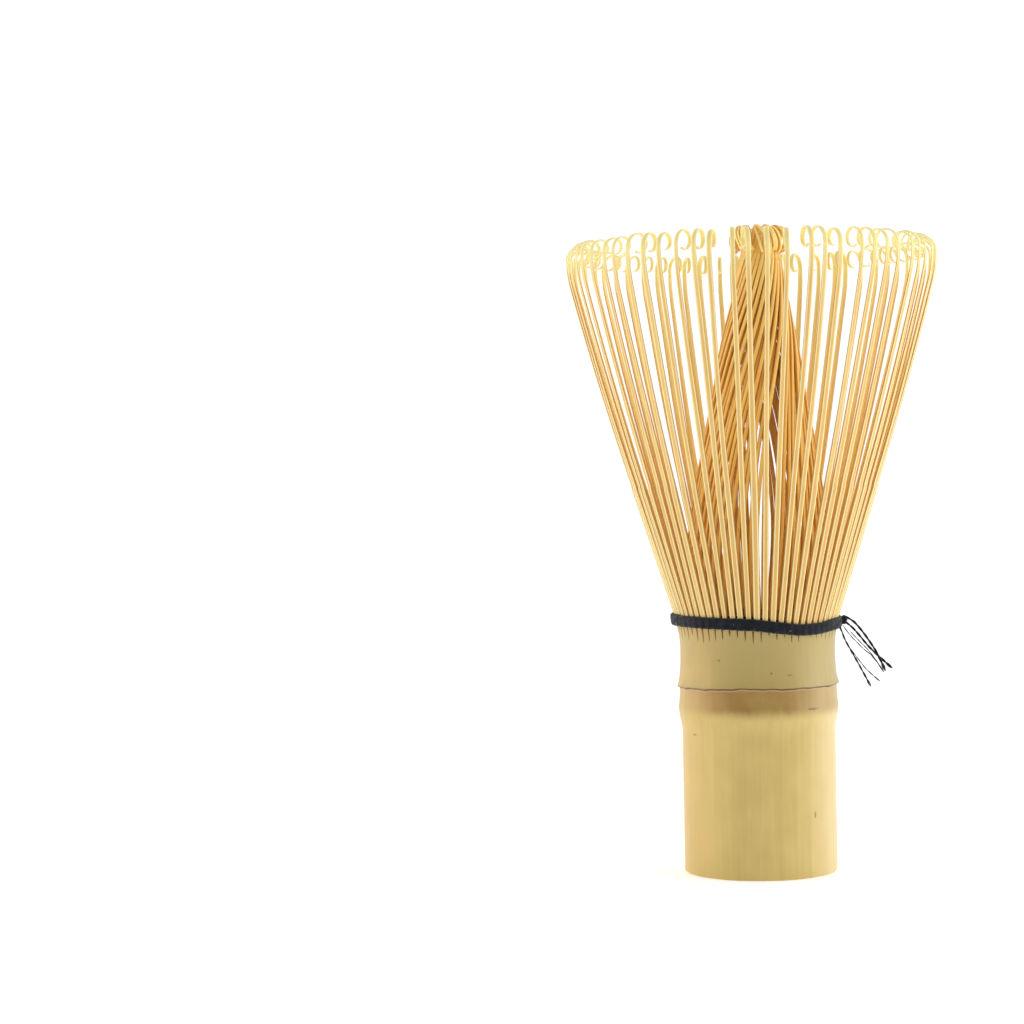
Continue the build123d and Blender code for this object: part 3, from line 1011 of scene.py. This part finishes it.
        # Painted light: edge, tip and inside brighten the front edges, the curls and the inner faces; the
        # default side colour is painted shade on the flat sides.
        finish = TineGrain(
            "outer_tine_bamboo", low=paint(228, 190, 108), high=paint(238, 198, 118),
            edge=paint(255, 246, 184), dark=paint(214, 156, 72), tip=paint(255, 236, 150),
            inside=paint(255, 226, 142), shade_spread=0.3).make()
        blanks = Blanks("outer_blanks", [
            self.blank(f"outer_blank_{i}", curl) for i, curl in enumerate(self.curls)])
        tree = self.tree()
        for section in range(SECTION_COUNT):
            number = f"{section + 1:02d}"
            piece = row_of(f"tines_outer_{number}", tree, blanks, section, 21, finish,
                           Pitch=PITCH, Sway=math.radians(0.6), Splay=math.radians(0.15),
                           Twist=math.radians(12.0), Bow=0.3 * MM)
            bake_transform(piece)
            declare(piece, Slot.OUTER, [f"outer_tines_{number}"])
        blanks.clear()


# ---- inner tines and knot ------------------------------------------------------
@dataclass
class InnerTines:
    """Sixty-four thin tines that twist together into a knot."""

    # Height, radius and parting of the legs.
    tent: tuple[tuple[float, float, float], ...] = (
        (41.35, 11.95, 0.0), (48.0, 12.05, 0.3), (56.0, 12.1, 0.7), (62.0, 11.5, 0.95),
        (70.0, 10.3, 1.0), (80.0, 8.5, 0.85), (92.0, 6.4, 0.5), (100.0, 4.7, 0.35),
        (106.3, 3.5, 0.3))
    widths: tuple[float, float] = (0.62 * MM, 0.72 * MM)
    thicknesses: tuple[float, float] = (0.5 * MM, 0.5 * MM)
    layer_depth: float = 0.8 * MM
    # Radius, height and share of the lay of a tip's path through the knot.
    loop: tuple[tuple[float, float, float], ...] = (
        (3.5, 106.3, 0.0), (2.9, 108.1, 0.12), (2.4, 110.0, 0.26), (2.6, 111.4, 0.4),
        (3.5, 112.15, 0.54), (4.4, 111.5, 0.68), (4.75, 110.1, 0.82), (4.55, 108.8, 0.92),
        (3.9, 108.1, 1.0))
    twist: float = math.radians(70.0)
    twist_power: float = 3.2
    lay: float = math.radians(60.0)
    lean: float = 1.6 * MM
    gap_half: float = math.radians(6.0)
    gap_azimuth: float = math.radians(-82.0)

    def spline(self, rows: Sequence[Sequence[float]], samples: int) -> np.ndarray:
        """Smooth rows through the given ones, evenly spaced by index."""
        given = np.array(rows)
        slopes = np.gradient(given, axis=0)
        found = []
        for place in np.linspace(0, len(given) - 1, samples):
            low = min(int(place), len(given) - 2)
            t = place - low
            found.append((2 * t**3 - 3 * t**2 + 1) * given[low] + (t**3 - 2 * t**2 + t) * slopes[low]
                         + (3 * t**2 - 2 * t**3) * given[low + 1] + (t**3 - t**2) * slopes[low + 1])
        return np.array(found)

    def stations(self, rows: np.ndarray, sized: Callable[[float], tuple[float, float]],
                 traits: Callable[[np.ndarray, float], dict[str, float]]) -> list[Station]:
        """Cross-sections along a line of (radius, height, third value) rows in millimetres."""
        steps = np.gradient(rows[:, :2], axis=0)
        lengths = np.concatenate([[0], np.cumsum(np.hypot(*np.diff(rows[:, :2], axis=0).T))])
        found = []
        for row, step, length in zip(rows, steps, lengths):
            share = length / lengths[-1]
            width, thickness = sized(share)
            found.append(Station(row[0] * MM, row[1] * MM, math.atan2(step[0], step[1]),
                                 thickness / 2, thickness / 2, width / 2, length * MM,
                                 traits(row, share)))
        return found

    def stem(self) -> bpy.types.Mesh:
        """The strip of a tine, from its foot to the knot."""
        rows = self.spline(self.tent, 44)
        low, high = self.tent[0][0], self.tent[-1][0]
        swapped = rows[:, [1, 0, 2]]

        def sized(share: float) -> tuple[float, float]:
            """Width and thickness."""
            return between(*self.widths, share), between(*self.thicknesses, share)

        def traits(row: np.ndarray, share: float) -> dict[str, float]:
            """What the row tree and the finish read."""
            return {"opened": float(row[2]), "share": float((row[1] - low) / (high - low)),
                    "lay": 0.0, "curl": 0.0, "skin": 1.0 - share}

        return strip("inner_blank", self.stations(swapped, sized, traits))

    def tip(self) -> bpy.types.Mesh:
        """The strip of a tine's tip, which loops through the knot."""
        rows = self.spline(self.loop, 34)
        opened = self.tent[-1][2]

        def sized(share: float) -> tuple[float, float]:
            """Width and thickness."""
            return self.widths[1] * (1 - 0.3 * share**3), self.thicknesses[1]

        def traits(row: np.ndarray, share: float) -> dict[str, float]:
            """What the row tree and the finish read."""
            return {"opened": opened, "share": 1.0, "lay": float(row[2]),
                    "curl": min(share * 2, 1), "skin": 0.0}

        return strip("tip_blank", self.stations(rows, sized, traits))

    def tree(self) -> GeometryTree:
        """The tree that twists the tines together and parts them at the front and back."""
        tree, row, tine = row_tree("inner_tine_row", {
            "Pitch": "Float", "Twist": "Float", "Power": "Float", "Lay": "Float",
            "Lean": "Float", "Gap": "Float", "Gap Azimuth": "Float", "Stray": "Float",
            "Layer": "Float"})
        x, y, z = tree.parts(tree.flow("GeometryNodeInputPosition"))
        share, opened, lay = tree.named("share"), tree.named("opened"), tree.named("lay")
        foot = (tine + 0.5) * tree.given("Pitch")
        # The legs part at the front and at the back, both a little right of the middle.
        span = tree.given("Gap Azimuth") * -2.0
        past = tree.math("FLOORED_MODULO", foot - tree.given("Gap Azimuth"), FULL_TURN)
        left = tree.math("GREATER_THAN", past, span)
        off_gap = (past - span * left) / (span + (FULL_TURN - span * 2.0) * left)
        parting = tree.given("Gap") * opened * (1.0 - off_gap * 2.0)
        stray = tree.given("Stray") * opened
        azimuth = foot + parting + tree.given("Twist") * share ** tree.given("Power")
        azimuth = azimuth + tree.given("Lay") * lay * tree.chance(0.7, 1.3, tine, 15)
        azimuth = azimuth + stray * 60.0 * tree.chance(-1.0, 1.0, tine, 16)
        x = x + stray * tree.chance(-1.0, 1.0, tine, 17)
        # Every other tine is set back into an inner layer, which is marked for painted shade towards the
        # knot.
        layer = tree.math("MODULO", tine, 2.0) * tree.ramp(share, 0.35, 1.0)
        row = tree.store(row, "deep", layer)
        x = x - layer * tree.given("Layer")
        x = x + lay * 0.4 * MM * tree.chance(-1.0, 1.0, tine, 18)
        z = z + lay * 0.5 * MM * tree.chance(-1.0, 0.7, tine, 19)
        place = tree.turn(tree.vector(x, y, z), azimuth)
        x, y, z = tree.parts(place)
        tree.close(tree.move(row, tree.vector(x + tree.given("Lean") * share, y, z)))
        return tree

    def build(self) -> None:
        """Builds the sixteen rows and the knot."""
        # Painted shade: edge and side darken the strands' front edges and flat sides; tip and inside are
        # painted light on the knot's tips and the inner faces.
        finish = TineGrain(
            "inner_tine_bamboo", low=paint(255, 212, 104), high=paint(255, 226, 126),
            edge=paint(222, 150, 56), dark=paint(232, 164, 66), tip=paint(255, 228, 138),
            inside=paint(255, 214, 120), side=paint(214, 142, 52), shade_spread=0.4,
            edge_from=0.5, edge_to=1.0, edge_share=0.6, tip_share=0.9).make()
        tree = self.tree()
        values = {"Pitch": PITCH, "Twist": self.twist, "Power": self.twist_power,
                  "Lay": self.lay, "Lean": self.lean, "Gap": self.gap_half,
                  "Gap Azimuth": self.gap_azimuth, "Stray": 0.22 * MM, "Layer": self.layer_depth}
        stems = Blanks("inner_blanks", [self.stem()])
        for section in range(SECTION_COUNT):
            number = f"{section + 1:02d}"
            piece = row_of(f"tines_inner_{number}", tree, stems, section, 40, finish, **values)
            settle(piece, Slot.INNER, [f"inner_tines_{number}"])
        stems.clear()
        tips = Blanks("tip_blanks", [self.tip()])
        empty = bpy.data.meshes.new("knot_empty")
        knot = grown("tines_knot", empty, tree, {
            "First": 0, "Count": TINE_COUNT // 2, "Stride": 2, "Seed": 40,
            "Blanks": tips.collection, "Finish": finish} | values)
        settle(knot, Slot.INNER, ["centre_knot"])
        tips.clear()


# ---- binding thread ------------------------------------------------------------
@dataclass
class Thread:
    """Woven rounds of black cotton thread, their knot and the free ends."""

    waves: int = TINE_COUNT
    samples: int = TINE_COUNT * 14
    # Radius, height, half width, half height, phase and turns of each round.
    rounds: dict[str, tuple[float, float, float, float, float, int]] = field(default_factory=lambda: {
        "outer_lower": (14.4, 43.2, 0.42, 0.76, 0.0, 34),
        "outer_upper": (14.44, 43.75, 0.42, 0.76, 2.1, 37),
        "inner_lower": (12.48, 42.75, 0.2, 0.62, 1.0, 50),
        "inner_upper": (12.55, 44.15, 0.2, 0.62, 3.0, 52)})
    plies: int = 5
    knot_centre: tuple[float, float, float] = (15.05 * MM, -0.2 * MM, 43.5 * MM)
    knot_radius: float = 0.42 * MM
    ply_radii: dict[str, float] = field(default_factory=lambda: {
        "upper": 0.15 * MM, "middle": 0.14 * MM, "lower": 0.1 * MM})
    fuzz_density: float = 1.1e6
    lint_density: float = 2.2e4
    hair_length: float = 0.5 * MM
    hair_radius: float = 0.014 * MM
    # Free ends, from the knot down and outwards.
    routes: dict[str, tuple[tuple[float, float, float], ...]] = field(default_factory=lambda: {
        "upper": ((14.9, -0.1, 44.3), (16.35, -0.1, 43.7), (17.7, -0.5, 42.3),
                  (19.4, -0.6, 39.9), (21.0, -0.4, 37.3), (22.1, -0.3, 34.6)),
        "middle": ((14.9, 0.1, 43.5), (16.2, 0.1, 42.6), (17.6, 0.5, 41.0),
                   (19.2, 0.9, 38.9), (21.1, 1.0, 37.0), (23.4, 1.1, 34.9)),
        "lower": ((14.0, -3.2, 43.0), (14.6, -3.18, 41.9), (14.95, -3.05, 40.6),
                  (15.95, -2.7, 38.7), (17.5, -2.3, 35.9), (19.5, -1.8, 32.0))})
    # Thin fibres that have come loose from the free ends.
    strays: dict[str, tuple[tuple[float, float, float], ...]] = field(default_factory=lambda: {
        "long": ((14.9, -0.5, 42.6), (16.05, -0.3, 40.9), (17.3, 0.1, 39.6), (18.5, 0.3, 38.3),
                 (19.6, 0.2, 37.5), (20.8, 0.1, 36.0), (21.8, 0.0, 34.5)),
        "forked": ((16.2, -0.4, 41.5), (17.6, -0.2, 39.9), (19.0, 0.1, 38.5), (20.2, -0.1, 37.0),
                   (21.9, -0.3, 34.3)),
        "short": ((15.2, -2.8, 39.9), (16.4, -2.6, 38.2), (17.5, -2.4, 36.7), (18.6, -2.3, 35.2),
                  (20.4, -2.1, 33.5), (21.1, -2.0, 32.9))})

    def ring_tree(self) -> GeometryTree:
        """The tree that lays one woven round of twisted plies."""
        tree = GeometryTree("thread_round", {
            "Samples": "Int", "Radius": "Float", "Height": "Float", "Half Width": "Float",
            "Half Height": "Float", "Waves": "Float", "Wave": "Float", "Phase": "Float",
            "Turns": "Float", "Plies": "Int", "Seed": "Int", "Finish": "Material"})
        circle = tree.flow("GeometryNodeCurvePrimitiveCircle", {
            "Resolution": tree.given("Samples"), "Radius": tree.given("Radius")})
        copies = tree.node("GeometryNodeDuplicateElements", {
            "Geometry": circle, "Amount": tree.given("Plies")}, domain="SPLINE")
        ply = Flow(tree, copies.outputs["Duplicate Index"])
        placed = tree.store(Flow(tree, copies.outputs["Geometry"]), "ply", ply, "FLOAT", "CURVE")
        x, y, z = tree.parts(tree.flow("GeometryNodeInputPosition"))
        azimuth = tree.math("ARCTAN2", y, x)
        swing = tree.named("ply") / tree.given("Plies") * FULL_TURN \
            + azimuth * tree.given("Turns") + tree.given("Phase")
        ply_radius = tree.given("Half Width") * 0.8
        wave = tree.math("COSINE", azimuth * tree.given("Waves")) * tree.given("Wave")
        wander = tree.noise(tree.vector(x, y, tree.given("Phase")), 220.0) - 0.5
        coil = tree.math("COSINE", swing) * (tree.given("Half Width") - ply_radius)
        # The band stands higher on the left and sags right of the middle of the front.
        sag = tree.math("COSINE", azimuth + math.radians(55.0))
        sag = tree.math("MAXIMUM", sag, 0.0) ** 10.0 * (-0.85 * MM) \
            + 0.25 * MM - tree.math("COSINE", azimuth) * (0.45 * MM)
        level = tree.given("Height") - wave * 0.8 + wander * 0.3 * MM + sag \
            + tree.math("SINE", swing) * (tree.given("Half Height") - ply_radius)
        reach = tree.given("Radius") + wave + wander * 0.25 * MM + coil + sag * 0.3
        place = tree.vector(reach * tree.math("COSINE", azimuth),
                            reach * tree.math("SINE", azimuth), level)
        moved = tree.move(placed, place)
        profile = tree.flow("GeometryNodeCurvePrimitiveCircle", {
            "Resolution": 7, "Radius": ply_radius})
        tree.close(tree.flow("GeometryNodeCurveToMesh", {"Curve": moved, "Profile Curve": profile}))
        return tree

    def tail_tree(self) -> GeometryTree:
        """The tree that twists plies round a line and frays them at its end."""
        tree = GeometryTree("thread_tail", {
            "Samples": "Int", "Spread": "Float", "Ply Radius": "Float", "Turns": "Float",
            "Plies": "Int", "Fray": "Float", "Seed": "Int", "Finish": "Material"})
        line = tree.flow("GeometryNodeMeshToCurve", {"Mesh": tree.given("Geometry")})
        line = tree.flow("GeometryNodeResampleCurve", {
            "Curve": line, "Count": tree.given("Samples")})
        copies = tree.node("GeometryNodeDuplicateElements", {
            "Geometry": line, "Amount": tree.given("Plies")}, domain="SPLINE")
        ply = Flow(tree, copies.outputs["Duplicate Index"])
        placed = tree.store(Flow(tree, copies.outputs["Geometry"]), "ply", ply, "FLOAT", "CURVE")
        factor = tree.flow("GeometryNodeSplineParameter")
        swing = tree.named("ply") / tree.given("Plies") * FULL_TURN \
            + factor * tree.given("Turns") * FULL_TURN
        spread = tree.given("Spread") * (factor ** 5.0 * tree.given("Fray") + 1.0)
        normal = tree.flow("GeometryNodeInputNormal")
        tangent = tree.flow("GeometryNodeInputTangent")
        side = tree.flow("ShaderNodeVectorMath", {0: tangent, 1: normal}, operation="CROSS_PRODUCT")
        first = tree.flow("ShaderNodeVectorMath", {
            0: normal, "Scale": tree.math("COSINE", swing) * spread}, operation="SCALE")
        second = tree.flow("ShaderNodeVectorMath", {
            0: side, "Scale": tree.math("SINE", swing) * spread}, operation="SCALE")
        offset = tree.flow("ShaderNodeVectorMath", {0: first, 1: second}, operation="ADD")
        moved = tree.flow("GeometryNodeSetPosition", {"Geometry": placed, "Offset": offset})
        profile = tree.flow("GeometryNodeCurvePrimitiveCircle", {
            "Resolution": 7, "Radius": tree.given("Ply Radius")})
        swell = 1.0 - tree.ramp(factor, 0.93, 1.0, 0.0, 0.6) + tree.ramp(factor, 0.8, 0.93, 0.0, 0.2)
        tree.close(tree.flow("GeometryNodeCurveToMesh", {
            "Curve": moved, "Profile Curve": profile, "Scale": swell, "Fill Caps": True}))
        return tree

    def hair(self) -> bpy.types.Mesh:
        """One short bent fibre that stands on its foot."""
        rows = []
        for step in range(5):
            share = step / 4
            bend = self.hair_length * 0.35 * share * share
            for corner in range(3):
                angle = corner * FULL_TURN / 3
                reach = self.hair_radius * (1 - 0.6 * share)
                rows.append((bend + reach * math.cos(angle), reach * math.sin(angle),
                             self.hair_length * share))
        faces: list = grid_faces(5, 3, False)
        faces += [(0, 1, 2), (12, 13, 14)]
        return solid("hair_blank", np.array(rows), faces)

    def fuzz_tree(self) -> GeometryTree:
        """The tree that grows fibres all over a piece of thread."""
        tree = GeometryTree("thread_fuzz", {
            "Density": "Float", "Length": "Float", "Seed": "Int", "Blanks": "Collection",
            "Finish": "Material"})
        spread = tree.node("GeometryNodeDistributePointsOnFaces", {
            "Mesh": tree.given("Geometry"), "Density": tree.given("Density"),
            "Seed": tree.given("Seed")})
        index = tree.flow("GeometryNodeInputIndex")
        tilt = tree.vector(tree.chance(-1.3, 1.3, index, 1), tree.chance(-1.3, 1.3, index, 2),
                           tree.chance(0.0, FULL_TURN, index, 3))
        turn = tree.flow("FunctionNodeRotateRotation", {
            "Rotation": Flow(tree, spread.outputs["Rotation"]), "Rotate By": tilt},
            rotation_space="LOCAL")
        blanks = tree.flow("GeometryNodeCollectionInfo", {
            "Collection": tree.given("Blanks"), "Separate Children": True,
            "Reset Children": True})
        size = tree.given("Length") * tree.chance(0.4, 1.2, index, 4)
        tree.close(tree.flow("GeometryNodeInstanceOnPoints", {
            "Points": Flow(tree, spread.outputs["Points"]), "Instance": blanks,
            "Pick Instance": True, "Rotation": turn, "Scale": tree.vector(size, size, size)}))
        return tree

    def fuzz(self, pieces: Sequence[bpy.types.Object]) -> None:
        """Grows dark fuzz and a little pale lint on the given pieces."""
        dark = Cotton("thread_fuzz_fibre", paint(58, 60, 70), paint(20, 22, 28)).make()
        pale = Cotton("thread_lint_fibre", paint(236, 226, 200), paint(170, 156, 128)).make()
        tree = self.fuzz_tree()
        blanks = Blanks("hair_blanks", [self.hair()])
        for piece in pieces:
            name = piece.name.replace("thread_", "")
            hairs = grown(f"thread_fuzz_{name}", piece.data, tree, {
                "Density": self.fuzz_density, "Length": 0.7, "Seed": 31,
                "Blanks": blanks.collection, "Finish": dark})
            settle(hairs, Slot.THREAD, [])
        lint = grown("thread_lint", pieces[0].data, tree, {
            "Density": self.lint_density, "Length": 2.6, "Seed": 33,
            "Blanks": blanks.collection, "Finish": pale})
        settle(lint, Slot.THREAD, [])
        blanks.clear()

    def line(self, name: str, points: Sequence[Sequence[float]]) -> bpy.types.Mesh:
        """The points of a smooth NURBS line through a route, as a mesh of edges."""
        curve = bpy.data.curves.new(name, "CURVE")
        curve.dimensions = "3D"
        curve.resolution_u = 12
        spline = curve.splines.new("NURBS")
        spline.points.add(len(points) - 1)
        for point, place in zip(spline.points, points):
            point.co = (place[0] * MM, place[1] * MM, place[2] * MM, 1.0)
        spline.order_u = 3
        spline.use_endpoint_u = True
        carrier = link(bpy.data.objects.new(name, curve))
        graph = bpy.context.evaluated_depsgraph_get()
        mesh = bpy.data.meshes.new_from_object(carrier.evaluated_get(graph), depsgraph=graph)
        bpy.data.objects.remove(carrier)
        return mesh

    def knot_route(self) -> list[tuple[float, float, float]]:
        """A small tight tangle where the thread is tied."""
        found = []
        for step in range(40):
            angle = step / 39 * 2.6 * FULL_TURN
            swell = self.knot_radius * (1 + 0.25 * math.cos(angle * 1.7))
            found.append((
                (self.knot_centre[0] + swell * math.cos(angle) * 0.8) / MM,
                (self.knot_centre[1] + swell * math.sin(angle * 0.62)) / MM,
                (self.knot_centre[2] + swell * math.sin(angle)) / MM))
        return found

    def build(self) -> None:
        """Builds the rounds, the knot and the free ends."""
        black = Cotton("thread_cotton", paint(40, 42, 50), paint(14, 15, 19)).make()
        rusty = Cotton("thread_stray_fibre", paint(96, 62, 52), paint(38, 28, 30)).make()
        tree = self.ring_tree()
        empty = bpy.data.meshes.new("round_empty")
        fuzzy = []
        for name, (radius, height, width, tall, phase, turns) in self.rounds.items():
            piece = grown(f"thread_round_{name}", empty, tree, {
                "Samples": self.samples, "Radius": radius * MM, "Height": height * MM,
                "Half Width": width * MM, "Half Height": tall * MM, "Waves": float(self.waves),
                "Wave": 0.03 * MM, "Phase": phase, "Turns": float(turns), "Plies": self.plies,
                "Seed": 3, "Finish": black})
            settle(piece, Slot.THREAD, [f"thread_{name}"])
            if name.startswith("outer"):
                fuzzy.append(piece)
        self.fuzz(fuzzy)
        tree = self.tail_tree()
        knot = grown("thread_tied_knot", self.line("knot_line", self.knot_route()), tree, {
            "Samples": 160, "Spread": 0.1 * MM, "Ply Radius": 0.2 * MM, "Turns": 9.0, "Plies": 2,
            "Fray": 0.0, "Seed": 4, "Finish": black})
        settle(knot, Slot.THREAD, ["thread_knot"])
        for name, route in self.routes.items():
            piece = grown(f"thread_end_{name}", self.line(f"{name}_line", route), tree, {
                "Samples": 60, "Spread": 0.08 * MM, "Ply Radius": self.ply_radii[name], "Turns": 4.0,
                "Plies": 2, "Fray": 0.6, "Seed": 5, "Finish": black})
            settle(piece, Slot.THREAD, [f"thread_tail_{name}"])
        for name, route in self.strays.items():
            piece = grown(f"thread_stray_{name}", self.line(f"{name}_line", route), tree, {
                "Samples": 40, "Spread": 0.04 * MM, "Ply Radius": 0.06 * MM, "Turns": 3.0,
                "Plies": 2, "Fray": 1.5, "Seed": 6, "Finish": rusty})
            settle(piece, Slot.THREAD, [])


# ---- studio --------------------------------------------------------------------
@dataclass
class Studio:
    """A plain pale floor, large soft lights and the camera."""

    camera_place: tuple[float, float, float] = (0.0, -0.452, 0.0714)
    yaw: float = math.radians(5.39)
    tilt: float = math.radians(-1.02)
    roll: float = math.radians(-1.07)
    lens: float = 90.56
    sensor: float = 36.0
    floor_half: float = 3.0
    surround: float = 1.08
    front_share: float = 0.3
    floor_glow: float = 0.32

    def floor(self) -> None:
        """A wide pale floor that fades into the pale surroundings."""
        half = self.floor_half
        mesh = bpy.data.meshes.new("studio_floor")
        mesh.from_pydata([(-half, -half, 0), (half, -half, 0), (half, half, 0), (-half, half, 0)],
                         [], [(0, 1, 2, 3)])
        tree = ShaderTree("studio_paper")
        grain = tree.noise(tree.coordinates, 300.0)
        colour = tree.blend(grain, (0.93, 0.93, 0.93, 1.0), (0.96, 0.96, 0.96, 1.0))
        mesh.materials.append(tree.finish(
            colour, grain, 0.01 * MM, Roughness=0.9, Specular_IOR_Level=0.1,
            Emission_Color=(1.0, 1.0, 1.0, 1.0), Emission_Strength=self.floor_glow))
        link(bpy.data.objects.new("studio_floor", mesh))

    def surroundings(self) -> None:
        """A white surround, darker towards the front, where the camera stands."""
        world = bpy.data.worlds.new("studio_surround")
        world.use_nodes = True
        tree = Tree(world.node_tree)
        back = world.node_tree.nodes["Background"]
        _, depth, _ = tree.parts(tree.flow("ShaderNodeTexCoord", out="Generated"))
        strength = tree.ramp(depth, -0.8, 0.2, self.front_share * self.surround, self.surround)
        world.node_tree.links.new(strength.socket, back.inputs["Strength"])
        back.inputs["Color"].default_value = (1.0, 1.0, 1.0, 1.0)
        bpy.context.scene.world = world

    def lamp(self, name: str, place: tuple[float, float, float], size: float,
             power: float) -> None:
        """A square soft light that faces the whisk.

        Args:
            name: the light's name.
            place: where it stands.
            size: its side.
            power: its strength in watts.
        """
        light = bpy.data.lights.new(name, "AREA")
        light.size = size
        light.energy = power
        holder = link(bpy.data.objects.new(name, light))
        aim = Vector((0, 0, 0.06)) - Vector(place)
        holder.matrix_world = Matrix.Translation(place) @ aim.to_track_quat("-Z", "Y").to_matrix().to_4x4()

    def camera(self) -> None:
        """The camera, close to level in front of the whisk."""
        data = bpy.data.cameras.new("studio_camera")
        data.lens = self.lens
        data.sensor_width = self.sensor
        data.clip_start = 0.01
        holder = link(bpy.data.objects.new("studio_camera", data))
        holder.matrix_world = (
            Matrix.Translation(self.camera_place) @ Matrix.Rotation(self.yaw, 4, "Z")
            @ Matrix.Rotation(math.pi / 2 + self.tilt, 4, "X") @ Matrix.Rotation(self.roll, 4, "Z"))
        bpy.context.scene.camera = holder

    def build(self) -> None:
        """Sets up the studio."""
        self.floor()
        self.surroundings()
        self.lamp("light_left", (-0.7, 0.0, 0.25), 0.6, 1.3)
        self.lamp("light_right", (0.7, -0.05, 0.25), 0.6, 2.2)
        self.camera()
        bpy.context.scene.view_settings.view_transform = "Standard"
        LOG.info("built the studio")


def main() -> None:
    """Builds the whisk and its studio."""
    logging.basicConfig(level=logging.INFO, format="%(name)s: %(message)s")
    Culm().build()
    OuterTines().build()
    InnerTines().build()
    Thread().build()
    Studio().build()


if __name__ == "__main__":
    main()
